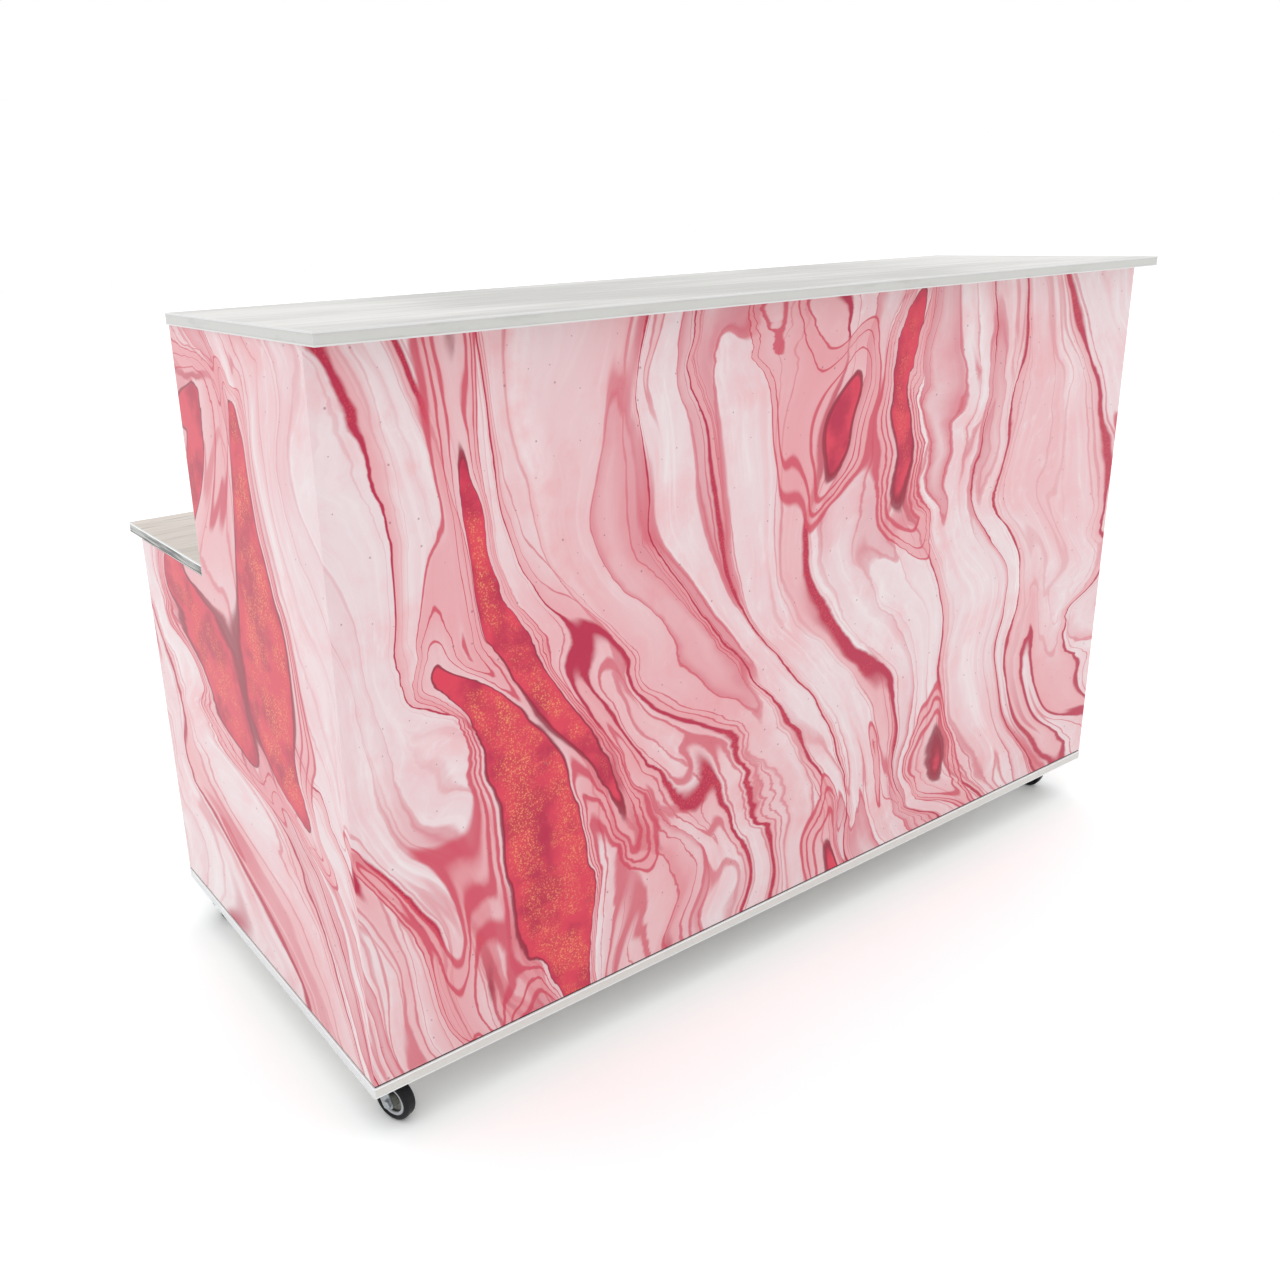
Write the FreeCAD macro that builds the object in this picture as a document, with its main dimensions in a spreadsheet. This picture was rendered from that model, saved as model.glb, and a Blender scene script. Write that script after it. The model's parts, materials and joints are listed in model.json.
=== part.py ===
import FreeCAD, Part
import os
import re
import Sketcher

# Sizes: lengths in millimetres, headings and tilts in degrees from the caster's own axes
SIZES = {
    # Outer form
    "body_width": 1829.0,
    "body_depth": 805.0,
    "upper_depth": 488.0,
    "panel_height": 1086.0,
    "step_height": 686.0,
    "top_front_overhang": 44.0,
    "top_side_overhang": 4.0,
    "work_rear_overhang": 72.0,
    # Boards, sheets and edges
    "board_thickness": 18.0,
    "graphic_thickness": 3.0,
    "graphic_gap": 3.0,
    "edge_thickness": 2.0,
    "edge_round": 0.8,
    "lip_height": 2.6,
    "lip_depth": 0.6,
    "base_proud": 2.0,
    "base_corner": 4.0,
    "work_corner": 3.0,
    # Rails, cleats and brackets
    "apron_height": 80.0,
    "work_rail_height": 60.0,
    "cleat_width": 25.0,
    "cleat_thickness": 2.0,
    "bracket_leg": 40.0,
    "bracket_width": 30.0,
    "bracket_thickness": 2.5,
    "bracket_bend": 2.0,
    "bracket_corner": 7.0,
    "bracket_hole": 5.0,
    # Shelves
    "shelf_rise": 330.0,
    "shelf_setback": 60.0,
    "shelf_gap": 0.5,
    "pin_diameter": 5.0,
    "pin_depth": 7.5,
    "pin_reach": 10.0,
    "pin_clearance": 0.05,
    "pin_inset": 70.0,
    "pin_pitch": 32.0,
    # Caster plates, screws and kingpins
    "caster_side_inset": 43.0,
    "caster_end_inset": 68.0,
    "plate_size": 60.0,
    "plate_thickness": 3.0,
    "plate_corner": 6.0,
    "screw_spacing": 44.0,
    "screw_diameter": 6.0,
    "screw_depth": 13.0,
    "screw_head_width": 10.0,
    "screw_head_height": 4.0,
    "screw_clearance": 0.3,
    "race_height": 10.0,
    "race_top_diameter": 42.0,
    "race_foot_diameter": 36.0,
    "kingpin_diameter": 10.0,
    "kingpin_head_diameter": 18.0,
    "kingpin_head_height": 4.0,
    "rivet_diameter": 16.0,
    "rivet_height": 2.0,
    "running_clearance": 0.06,
    "swivel_gap": 0.5,
    # Forks, axles and wheels
    "caster_trail": 26.0,
    "crown_clearance": 4.0,
    "crown_length": 42.0,
    "fork_thickness": 2.5,
    "fork_bend": 2.0,
    "fork_corner": 4.0,
    "leg_skirt": 6.0,
    "leg_width": 20.0,
    "tyre_clearance": 2.5,
    "axle_diameter": 8.0,
    "axle_head_width": 13.0,
    "axle_head_height": 5.0,
    "nut_height": 6.0,
    "thread_length": 2.0,
    "hub_gap": 0.5,
    "wheel_diameter": 68.0,
    "tyre_width": 24.0,
    "tyre_depth": 9.0,
    "tread_round": 8.0,
    "tyre_bevel": 2.0,
    "rim_width": 19.0,
    "rim_ring": 4.5,
    "hub_diameter": 19.0,
    "web_thickness": 7.0,
    "core_draft": 1.0,
    "seat_clearance": 0.05,
    # Brakes
    "brake_tilt": 35.0,
    "brake_lock": 20.0,
    "brake_gap": 2.0,
    "brake_hub_radius": 5.0,
    "brake_nose_radius": 2.4,
    "brake_contact_gap": 0.4,
    "brake_pin_diameter": 5.0,
    "brake_pin_head": 8.0,
    "brake_pin_head_height": 2.0,
    "brake_ear": 6.0,
    "brake_side_gap": 0.6,
    "pedal_length": 32.0,
    "pedal_rise": 4.0,
    "pedal_thickness": 4.0,
    "toe_lip": 4.0,
    "grip_width": 2.0,
    "grip_depth": 0.8,
    # Headings of the casters as they stand
    "front_left_heading": 20.0,
    "front_right_heading": 190.0,
    "rear_left_heading": 168.0,
    "rear_right_heading": 195.0,
    # How far every cut runs past what it cuts
    "overrun": 5.0,
}

# Shares of the bay along which brackets stand, and of the leg that its rounded tip takes
BRACKET_SHARES = (0.2, 0.8)
TIP_SHARE = 0.95
PIN_ROWS = 5
GRIP_COUNT = 4

# Places worked out from the sizes: X to the right, Y to the back, Z up from the floor
PLACES = {
    "half_width": "body_width / 2",
    "overall_depth": "top_front_overhang + body_depth + work_rear_overhang",
    "front_face": "top_front_overhang - overall_depth / 2",
    "rear_face": "front_face + body_depth",
    "upper_rear": "front_face + upper_depth",
    "crown_under": "wheel_diameter + crown_clearance",
    "crown_top": "crown_under + fork_thickness",
    "race_foot": "crown_top + swivel_gap",
    "plate_under": "race_foot + race_height",
    "deck_under": "plate_under + plate_thickness",
    "deck_top": "deck_under + board_thickness",
    "carcass_top": "deck_top + panel_height",
    "step_top": "deck_top + step_height",
    "board_front": "front_face + graphic_thickness",
    "board_back": "board_front + board_thickness",
    "board_outside": "half_width - graphic_thickness",
    "board_inside": "board_outside - board_thickness",
    "upper_edge": "upper_rear - edge_thickness",
    "lower_edge": "rear_face - edge_thickness",
    "rail_front": "lower_edge - board_thickness",
    "deck_side": "half_width + base_proud",
    "deck_front": "front_face - base_proud",
    "top_side": "half_width + top_side_overhang",
    "top_front": "front_face - top_front_overhang",
    "work_rear": "rear_face + work_rear_overhang",
    "half_board": "board_thickness / 2",
    "shelf_under": "deck_top + shelf_rise",
    "shelf_rear": "lower_edge - shelf_setback",
    "pin_height": "shelf_under - pin_diameter / 2",
    "pin_front": "board_back + pin_inset",
    "pin_rear": "shelf_rear - pin_inset",
    "wheel_radius": "wheel_diameter / 2",
    "rim_radius": "wheel_radius - tyre_depth",
    "fork_inside": "tyre_width / 2 + tyre_clearance",
    "fork_outside": "fork_inside + fork_thickness",
    "leg_half": "leg_width / 2",
    "crown_half": "crown_length / 2",
    "skirt_foot": "crown_under - leg_skirt",
    "brake_reach": "wheel_radius + brake_gap + brake_hub_radius",
    "brake_along": "-caster_trail - brake_reach * sin(brake_tilt)",
    "brake_height": "wheel_radius + brake_reach * cos(brake_tilt)",
    "nose_offset": "brake_hub_radius + brake_gap - brake_contact_gap - brake_nose_radius",
    "kingpin_bore": "kingpin_diameter + 2 * running_clearance",
    "axle_bore": "axle_diameter + 2 * running_clearance",
    "brake_bore": "brake_pin_diameter + 2 * running_clearance",
}

DOC = FreeCAD.newDocument("bar_counter")
SHEET = DOC.addObject("Spreadsheet::Sheet", "sizes")
for row, (alias, size) in enumerate(SIZES.items(), 1):
    SHEET.set(f"A{row}", alias)
    SHEET.set(f"B{row}", str(size))
    SHEET.setAlias(f"B{row}", alias)
DOC.recompute()

NODES = {}


def formula(text):
    """The text as an expression on the sheet's cells, with the named places written out."""
    def written_out(match):
        word = match.group(0)
        if word in PLACES:
            return "(" + formula(PLACES[word]) + ")"
        return "sizes." + word if word in SIZES else word
    return re.sub(r"[a-z_]+", written_out, text)


def number(text):
    """The value that an expression has now."""
    return float(SHEET.evalExpression(formula(text)))


# Helpers that make features

def new_body(name):
    body = DOC.addObject("PartDesign::Body", name)
    body.AllowCompound = True
    return body


def node(name, shape_object):
    """Names a finished object as one node of the part."""
    shape_object.Label = name
    NODES[name] = shape_object
    return shape_object


def tie(sketch, kind, first, second, text):
    """A constraint whose value follows an expression."""
    index = sketch.addConstraint(Sketcher.Constraint(kind, *first, *second, number(text)))
    sketch.setExpression(f"Constraints[{index}]", formula(text))


def sketch_on(body, plane, outlines, offset="0"):
    """A sketch on an origin plane: outlines are rings of (x, y) corners or (x, y, diameter) circles."""
    sketch = body.newObject("Sketcher::SketchObject", body.Name + "_sketch")
    support = [item for item in body.Origin.OriginFeatures if item.Role == plane][0]
    sketch.AttachmentSupport = [(support, "")]
    sketch.MapMode = "FlatFace"
    sketch.setExpression("AttachmentOffset.Base.z", formula(offset))
    origin = (-1, 1)
    for outline in outlines:
        if isinstance(outline, tuple):
            across, up, diameter = outline
            centre = FreeCAD.Vector(number(across), number(up), 0)
            circle = Part.Circle(centre, FreeCAD.Vector(0, 0, 1), number(diameter) / 2)
            index = sketch.addGeometry(circle)
            tie(sketch, "Diameter", (index,), (), diameter)
            tie(sketch, "DistanceX", origin, (index, 3), across)
            tie(sketch, "DistanceY", origin, (index, 3), up)
            continue
        corners = [FreeCAD.Vector(number(across), number(up), 0) for across, up in outline]
        start = sketch.GeometryCount
        count = len(corners)
        for step in range(count):
            sketch.addGeometry(Part.LineSegment(corners[step], corners[(step + 1) % count]))
        for step, (across, up) in enumerate(outline):
            following = start + (step + 1) % count
            sketch.addConstraint(Sketcher.Constraint("Coincident", start + step, 2, following, 1))
            tie(sketch, "DistanceX", origin, (start + step, 1), across)
            tie(sketch, "DistanceY", origin, (start + step, 1), up)
    return sketch


def extrude(body, kind, sketch, length, reverse=False, both_ways=False):
    """A Pad or a Pocket of a sketch."""
    feature = body.newObject("PartDesign::" + kind, body.Name + "_" + kind.lower())
    feature.Profile = sketch
    feature.Reversed = reverse
    if both_ways:
        feature.SideType = "Symmetric"
    feature.setExpression("Length", formula(length))
    sketch.Visibility = False
    DOC.recompute()
    return feature


def pad(body, plane, outlines, length, offset="0", **ways):
    return extrude(body, "Pad", sketch_on(body, plane, outlines, offset), length, **ways)


def pocket(body, plane, outlines, length, offset="0", **ways):
    return extrude(body, "Pocket", sketch_on(body, plane, outlines, offset), length, **ways)


def revolve(body, plane, outlines, axis):
    """A full turn of outlines about one of the body's own axes."""
    feature = body.newObject("PartDesign::Revolution", body.Name + "_turn")
    feature.Profile = sketch_on(body, plane, outlines)
    about = [item for item in body.Origin.OriginFeatures if item.Role == axis][0]
    feature.ReferenceAxis = (about, [""])
    DOC.recompute()
    return feature


def round_edges(body, radius, chosen, kind="Fillet"):
    """Rounds or bevels the edges of the body's last feature that a test chooses."""
    last = body.Tip
    names = [f"Edge{index}" for index, edge in enumerate(last.Shape.Edges, 1) if chosen(edge)]
    feature = body.newObject("PartDesign::" + kind, body.Name + "_" + kind.lower())
    feature.Base = (last, names)
    feature.setExpression("Radius" if kind == "Fillet" else "Size", formula(radius))
    DOC.recompute()
    return feature


def rectangle(left, right, low, high):
    return [(left, low), (right, low), (right, high), (left, high)]


def along(edge, axis):
    """Whether an edge is a straight line along X, Y or Z."""
    box = edge.BoundBox
    spans = {"X": box.XLength, "Y": box.YLength, "Z": box.ZLength}
    return all(span < edge.Length / 1000 for name, span in spans.items() if name != axis)


# Base deck, tops and their edges

def is_circle(edge):
    return edge.Curve.TypeId == "Part::GeomCircle"


def edge_trim(name, side, front, rear, low, corner=None, open_front=False):
    """A trim round a board, grooved along its face so that lips stand along its top and bottom."""
    trim = new_body(name)
    within, face = f"{side} - edge_thickness", f"{rear} - edge_thickness"
    outlines = [rectangle(f"-({side})", side, front, rear),
                rectangle(f"-({within})", within, f"{front} + edge_thickness", face)]
    groove_front = f"{front} + lip_depth"
    if open_front:
        outlines = [[(f"-({side})", front), (f"-({within})", front), (f"-({within})", face), (within, face),
                     (within, front), (side, front), (side, rear), (f"-({side})", rear)]]
        groove_front = f"{front} - overrun"
    pad(trim, "XY_Plane", outlines, "board_thickness", low)
    core = rectangle(f"-({side} - lip_depth)", f"{side} - lip_depth", groove_front, f"{rear} - lip_depth")
    around = rectangle(f"-({side} + overrun)", f"{side} + overrun",
                       f"{front} - 2 * overrun", f"{rear} + overrun")
    pocket(trim, "XY_Plane", [around, core], "board_thickness - 2 * lip_height",
           f"{low} + lip_height", reverse=True)
    box = trim.Shape.BoundBox
    near = number("lip_depth / 4")

    def depth(edge):
        """How far an edge's middle lies inside the trim's sides and its ends."""
        middle = edge.CenterOfMass
        from_end = box.YMax - middle.y if open_front else min(box.YMax - middle.y, middle.y - box.YMin)
        return min(box.XMax - middle.x, middle.x - box.XMin), from_end

    def upright_corner(edge, inset):
        return along(edge, "Z") and all(abs(gap - inset) < near for gap in depth(edge))

    def outer_rim(edge):
        level = min(edge.BoundBox.ZMax - box.ZMin, box.ZMax - edge.BoundBox.ZMin) < near
        outside = min(depth(edge)) < near or is_circle(edge)
        return level and outside and edge.Length > number("edge_thickness + edge_round")

    if corner:
        round_edges(trim, corner, lambda edge: upright_corner(edge, 0))
        round_edges(trim, f"{corner} - lip_depth", lambda edge: upright_corner(edge, number("lip_depth")))
    round_edges(trim, "edge_round", outer_rim)
    return node(name, trim)


def corner_places():
    """Name, pivot X, pivot Y and heading of each caster."""
    inset = "(half_width - caster_side_inset)"
    for side, across in (("left", f"-{inset}"), ("right", inset)):
        yield f"front_{side}", across, "front_face + caster_end_inset", f"front_{side}_heading"
        yield f"rear_{side}", across, "rear_face - caster_end_inset", f"rear_{side}_heading"


def screw_places():
    """Where the screws of one caster stand about its pivot."""
    for across in ("-screw_spacing / 2", "screw_spacing / 2"):
        for up in ("-screw_spacing / 2", "screw_spacing / 2"):
            yield across, up


def base():
    inside = rectangle("-(deck_side - edge_thickness)", "deck_side - edge_thickness",
                       "deck_front + edge_thickness", "lower_edge")
    deck = new_body("base_deck")
    pad(deck, "XY_Plane", [inside], "board_thickness", "deck_under")
    holes = [(f"{pivot_x} + {across}", f"{pivot_y} + {up}", "screw_diameter + 2 * screw_clearance")
             for _, pivot_x, pivot_y, _ in corner_places() for across, up in screw_places()]
    pocket(deck, "XY_Plane", holes, "screw_depth + screw_clearance", "deck_under", reverse=True)
    node("base_deck", deck)

    corner = "min(base_corner; 3 * edge_thickness)"
    edge_trim("base_edge_trim", "deck_side", "deck_front", "rear_face", "deck_under", corner)


def bar_top():
    inside = rectangle("-(top_side - edge_thickness)", "top_side - edge_thickness",
                       "top_front + edge_thickness", "upper_edge")
    slab = new_body("bar_top_board")
    pad(slab, "XY_Plane", [inside], "board_thickness", "carcass_top")
    node("bar_top_board", slab)

    edge_trim("bar_top_edge_band", "top_side", "top_front", "upper_rear", "carcass_top")

    apron = new_body("bar_top_rear_rail")
    strip = rectangle("-board_inside", "board_inside", "upper_edge - board_thickness", "upper_edge")
    pad(apron, "XY_Plane", [strip], "apron_height", "carcass_top - apron_height")
    node("bar_top_rear_rail", apron)


def work_top():
    """A board that is as wide as the counter behind the step, with a tongue between the side boards."""
    slab = new_body("work_top_board")
    tongue = "board_inside - shelf_gap"
    side = "half_width - edge_thickness"
    rear = "work_rear - edge_thickness"
    pad(slab, "XY_Plane", [[
        (f"-({tongue})", "board_back"), (tongue, "board_back"), (tongue, "upper_rear"), (side, "upper_rear"),
        (side, rear), (f"-({side})", rear), (f"-({side})", "upper_rear"), (f"-({tongue})", "upper_rear")]],
        "board_thickness", "step_top")
    node("work_top_board", slab)

    corner = "min(work_corner; 3 * edge_thickness)"
    edge_trim("work_top_edge_trim", "half_width", "upper_rear", "work_rear", "step_top", corner,
              open_front=True)

    rail = new_body("work_top_rear_rail")
    pad(rail, "XY_Plane", [rectangle("-board_inside", "board_inside", "rail_front", "lower_edge")],
        "work_rail_height", "step_top - work_rail_height")
    node("work_top_rear_rail", rail)


# Upright boards and printed sheets

def stepped(front, upper, lower):
    """The side of the counter seen along X, high in front and low behind."""
    return [(front, "deck_top"), (lower, "deck_top"), (lower, "step_top"),
            (upper, "step_top"), (upper, "carcass_top"), (front, "carcass_top")]


def pin_holes(body, face, reverse):
    """Two rows of holes for the shelf pins, bored into an upright board from its face."""
    lowest = f"pin_height - {PIN_ROWS // 2} * pin_pitch"
    bore = "pin_diameter + 2 * pin_clearance"
    cut = pocket(body, "YZ_Plane", [("pin_front", lowest, bore), ("pin_rear", lowest, bore)],
                 "pin_depth + pin_clearance", face, reverse=reverse)
    rows = body.newObject("PartDesign::LinearPattern", body.Name + "_rows")
    rows.Originals = [cut]
    rows.Direction = (cut.Profile[0], ["V_Axis"])
    rows.Occurrences = PIN_ROWS
    rows.setExpression("Length", formula(f"{PIN_ROWS - 1} * pin_pitch"))
    body.Tip = rows
    DOC.recompute()


def upright_boards():
    front = new_body("front_board")
    pad(front, "XY_Plane", [rectangle("-board_inside", "board_inside", "board_front", "board_back")],
        "panel_height", "deck_top")
    node("front_board", front)

    outline = stepped("board_front", "upper_edge", "lower_edge")
    left = new_body("left_side_board")
    pad(left, "YZ_Plane", [outline], "board_thickness", "-board_outside")
    pin_holes(left, "-board_inside", reverse=False)
    node("left_side_board", left)
    right = new_body("right_side_board")
    pad(right, "YZ_Plane", [outline], "board_thickness", "board_inside")
    pin_holes(right, "board_inside", reverse=True)
    node("right_side_board", right)

    divider = new_body("centre_divider")
    pad(divider, "YZ_Plane", [rectangle("board_back", "rail_front", "deck_top", "step_top")],
        "board_thickness", "-half_board")
    pin_holes(divider, "-half_board", reverse=True)
    pin_holes(divider, "half_board", reverse=False)
    node("centre_divider", divider)


def graphic_panels():
    """Printed sheets, mitred where they meet at the front corners."""
    low = "deck_top + graphic_gap"
    height = "panel_height - graphic_gap"
    front = new_body("front_graphic_panel")
    plan = [("-half_width", "front_face"), ("half_width", "front_face"),
            ("board_outside", "board_front"), ("-board_outside", "board_front")]
    pad(front, "XY_Plane", [plan], height, low)
    node("front_graphic_panel", front)
    for side, sign in (("left", "-"), ("right", "")):
        sheet = new_body(f"{side}_graphic_panel")
        plan = [(f"{sign}half_width", "front_face"), (f"{sign}half_width", "lower_edge"),
                (f"{sign}board_outside", "lower_edge"), (f"{sign}board_outside", "board_front")]
        pad(sheet, "XY_Plane", [plan], height, low)
        above_step = rectangle("upper_edge", "rear_face + overrun", "step_top", "carcass_top + overrun")
        pocket(sheet, "YZ_Plane", [above_step], "body_width + 2 * overrun", both_ways=True)
        node(f"{side}_graphic_panel", sheet)

        band = new_body(f"{side}_side_edge_band")
        strips = [rectangle("upper_edge", "upper_rear", "step_top", "carcass_top"),
                  rectangle("lower_edge", "rear_face", "deck_top", "step_top")]
        pad(band, "YZ_Plane", strips, "half_width - board_inside",
            "-half_width" if side == "left" else "board_inside")
        rear_edges = number("upper_rear"), number("rear_face")
        near = number("edge_thickness / 4")
        round_edges(band, "edge_round", lambda edge: along(edge, "Z")
                    and min(abs(edge.CenterOfMass.y - rear) for rear in rear_edges) < near)
        node(f"{side}_side_edge_band", band)


# Shelves, cleats and brackets

def shelves():
    bands = []
    for side, left, right in (("left", "-(board_inside - shelf_gap)", "-(half_board + shelf_gap)"),
                              ("right", "half_board + shelf_gap", "board_inside - shelf_gap")):
        shelf = new_body(f"{side}_shelf")
        plan = rectangle(left, right, "board_back + shelf_gap", "shelf_rear - edge_thickness")
        pad(shelf, "XY_Plane", [plan], "board_thickness", "shelf_under")
        node(f"{side}_shelf", shelf)
        band = new_body(f"{side}_shelf_band")
        strip = rectangle(left, right, "shelf_rear - edge_thickness", "shelf_rear")
        pad(band, "XY_Plane", [strip], "board_thickness", "shelf_under")
        outer = number("shelf_rear - edge_thickness / 4")
        round_edges(band, "edge_round", lambda edge: along(edge, "X") and edge.CenterOfMass.y > outer)
        bands.append(band)
    group("shelf_edge_bands", bands)


def group(name, members):
    """Several separate solids kept as one node."""
    whole = DOC.addObject("Part::Compound", name)
    whole.Links = members
    DOC.recompute()
    return node(name, whole)


def shelf_pins():
    """Round pins with bevelled ends, half in the upright boards and half under the shelves."""
    pins = []
    faces = (("-board_inside", True), ("-half_board", False), ("half_board", True), ("board_inside", False))
    for face, outwards in faces:
        for place in ("pin_front", "pin_rear"):
            pin = new_body(f"shelf_pin_{len(pins) + 1}")
            start = f"{face} - pin_depth" if outwards else f"{face} - pin_reach"
            pad(pin, "YZ_Plane", [(place, "pin_height", "pin_diameter")], "pin_depth + pin_reach", start)
            round_edges(pin, "pin_diameter / 8", is_circle, "Chamfer")
            pins.append(pin)
    group("shelf_pins", pins)


def cleats():
    """Angle strips under the front part of the work top, on the front board and the side boards."""
    def angle_section(wall, sign):
        return [(wall, "step_top"), (f"{wall} {sign} cleat_width", "step_top"),
                (f"{wall} {sign} cleat_width", "step_top - cleat_thickness"),
                (f"{wall} {sign} cleat_thickness", "step_top - cleat_thickness"),
                (f"{wall} {sign} cleat_thickness", "step_top - cleat_width"),
                (wall, "step_top - cleat_width")]

    front = new_body("front_cleats")
    for start in ("-board_inside", "half_board"):
        pad(front, "YZ_Plane", [angle_section("board_back", "+")], "board_inside - half_board", start)
    sides = new_body("side_cleats")
    for wall, sign in (("-board_inside", "+"), ("board_inside", "-")):
        pad(sides, "XZ_Plane", [angle_section(wall, sign)], "upper_edge - board_back - cleat_width",
            "-(board_back + cleat_width)", reverse=True)
    group("work_top_cleats", [front, sides])


def bracket(name, across, depth, height, turn):
    """A bent angle bracket with a screw hole in each leg, standing at a corner of the carcass."""
    body = new_body(name)
    body.Placement = FreeCAD.Placement(FreeCAD.Vector(0, 0, 0), turn)
    leg, wall = "bracket_leg", "bracket_thickness"
    pad(body, "YZ_Plane", [[("0", "0"), (leg, "0"), (leg, wall), (wall, wall), (wall, leg), ("0", leg)]],
        "bracket_width", both_ways=True)
    half_wall, end = number("bracket_thickness / 2"), number("bracket_leg - bracket_thickness")

    def reach(edge):
        return max(edge.CenterOfMass.y, edge.CenterOfMass.z)

    def inner_bend(edge):
        return along(edge, "X") and half_wall < reach(edge) < 3 * half_wall

    def outer_bend(edge):
        return along(edge, "X") and reach(edge) < half_wall

    def leg_corner(edge):
        across_wall = along(edge, "Y") or along(edge, "Z")
        return across_wall and edge.Length < 3 * half_wall and reach(edge) > end

    round_edges(body, "bracket_bend", inner_bend)
    round_edges(body, "bracket_bend + bracket_thickness", outer_bend)
    round_edges(body, "bracket_corner", leg_corner)
    hole = ("0", "(bracket_leg + bracket_thickness) / 2", "bracket_hole")
    through = "bracket_thickness + overrun"
    pocket(body, "XY_Plane", [hole], through, "-overrun", reverse=True)
    pocket(body, "XZ_Plane", [hole], through, "overrun")
    for axis, text in (("x", across), ("y", depth), ("z", height)):
        body.setExpression(f"Placement.Base.{axis}", formula(text))
    DOC.recompute()
    return body


def brackets():
    upwards = FreeCAD.Rotation()
    downwards = FreeCAD.Rotation(FreeCAD.Vector(0, 1, 0), 180)
    to_right = FreeCAD.Rotation(FreeCAD.Vector(0, 0, 1), -90)
    to_left = FreeCAD.Rotation(FreeCAD.Vector(0, 0, 1), 90)
    made = []
    rows = (("deck_top", upwards, "rail_front"), ("carcass_top", downwards, "upper_edge - board_thickness"))
    for height, flip, rear in rows:
        for share in BRACKET_SHARES:
            for sign in ("-", ""):
                across = f"{sign}(half_board + (board_inside - half_board) * {share})"
                made.append(bracket(f"bracket_{len(made) + 1}", across, "board_back", height, flip))
            depth = f"board_back + ({rear} - board_back) * {share}"
            made.append(bracket(f"bracket_{len(made) + 1}", "-board_inside", depth, height, to_right * flip))
            made.append(bracket(f"bracket_{len(made) + 1}", "board_inside", depth, height, to_left * flip))
    group("corner_brackets", made)


# Casters

def place(body, pivot_x, pivot_y, heading="0", along_y="0", height="0"):
    """Stands a body at a caster's pivot, or at a point along its own Y axis, turned to its heading."""
    body.Placement = FreeCAD.Placement(FreeCAD.Vector(0, 0, 0), FreeCAD.Rotation(FreeCAD.Vector(0, 0, 1), 1))
    body.setExpression("Placement.Rotation.Angle", formula(heading))
    body.setExpression("Placement.Base.x", formula(f"{pivot_x} - ({along_y}) * sin({heading})"))
    body.setExpression("Placement.Base.y", formula(f"{pivot_y} + ({along_y}) * cos({heading})"))
    body.setExpression("Placement.Base.z", formula(height))
    DOC.recompute()
    return body


def hexagon(width):
    """Corners of a hexagon with the given width across its flats."""
    point, flat = f"{width} / sqrt(3)", f"{width} / 2"
    half_point = f"{width} / (2 * sqrt(3))"
    return [(point, "0"), (half_point, flat), (f"-{half_point}", flat),
            (f"-{point}", "0"), (f"-{half_point}", f"-{flat}"), (half_point, f"-{flat}")]


def caster_plate(corner, pivot_x, pivot_y):
    """Mounting plate with its pressed raceway, bored for the kingpin."""
    body = new_body(f"{corner}_caster_plate")
    half = "plate_size / 2"
    holes = [(across, up, "screw_diameter + 2 * screw_clearance") for across, up in screw_places()]
    plan = rectangle(f"-{half}", half, f"-{half}", half)
    pad(body, "XY_Plane", [plan, *holes], "plate_thickness", "plate_under")
    rim = number("plate_size / 2 - plate_corner / 2")

    def at_corner(edge):
        return along(edge, "Z") and min(abs(edge.CenterOfMass.x), abs(edge.CenterOfMass.y)) > rim

    round_edges(body, "plate_corner", at_corner)
    foot, top = "race_foot_diameter / 2", "race_top_diameter / 2"
    raceway = [("0", "race_foot"), (foot, "race_foot"), (top, "plate_under"), ("0", "plate_under")]
    revolve(body, "XZ_Plane", [raceway], "Z_Axis")
    bore = ("0", "0", "kingpin_bore")
    pocket(body, "XY_Plane", [bore], "deck_under + overrun", "race_foot - overrun", reverse=True)
    recess = ("0", "0", "rivet_diameter + 2 * running_clearance")
    pocket(body, "XY_Plane", [recess], "rivet_height", "deck_under")
    place(body, pivot_x, pivot_y)
    return node(f"{corner}_caster_plate", body)


def kingpin(corner, pivot_x, pivot_y):
    """Rivet that hangs the fork from the plate, with a flange under the fork's crown."""
    body = new_body(f"{corner}_kingpin")
    shaft, rivet, flange = "kingpin_diameter / 2", "rivet_diameter / 2", "kingpin_head_diameter / 2"
    foot, shoulder = "crown_under - kingpin_head_height", "deck_under - rivet_height"
    bevel = "kingpin_head_height / 2"
    revolve(body, "XZ_Plane", [[
        ("0", foot), (f"{flange} - {bevel}", foot), (flange, f"crown_under - {bevel}"),
        (flange, "crown_under"), (shaft, "crown_under"), (shaft, shoulder), (rivet, shoulder),
        (rivet, "deck_under"), ("0", "deck_under")]], "Z_Axis")
    place(body, pivot_x, pivot_y)
    return node(f"{corner}_kingpin", body)


def caster_screws(corner, pivot_x, pivot_y):
    """Hexagon screws through the plate into the deck."""
    body = new_body(f"{corner}_caster_screws")
    for across, up in screw_places():
        head = [(f"{across} + {x}", f"{up} + {y}") for x, y in hexagon("screw_head_width")]
        pad(body, "XY_Plane", [head], "screw_head_height", "plate_under", reverse=True)
        shank = (across, up, "screw_diameter")
        pad(body, "XY_Plane", [shank], "plate_thickness + screw_depth", "plate_under")
    return place(body, pivot_x, pivot_y)


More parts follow.
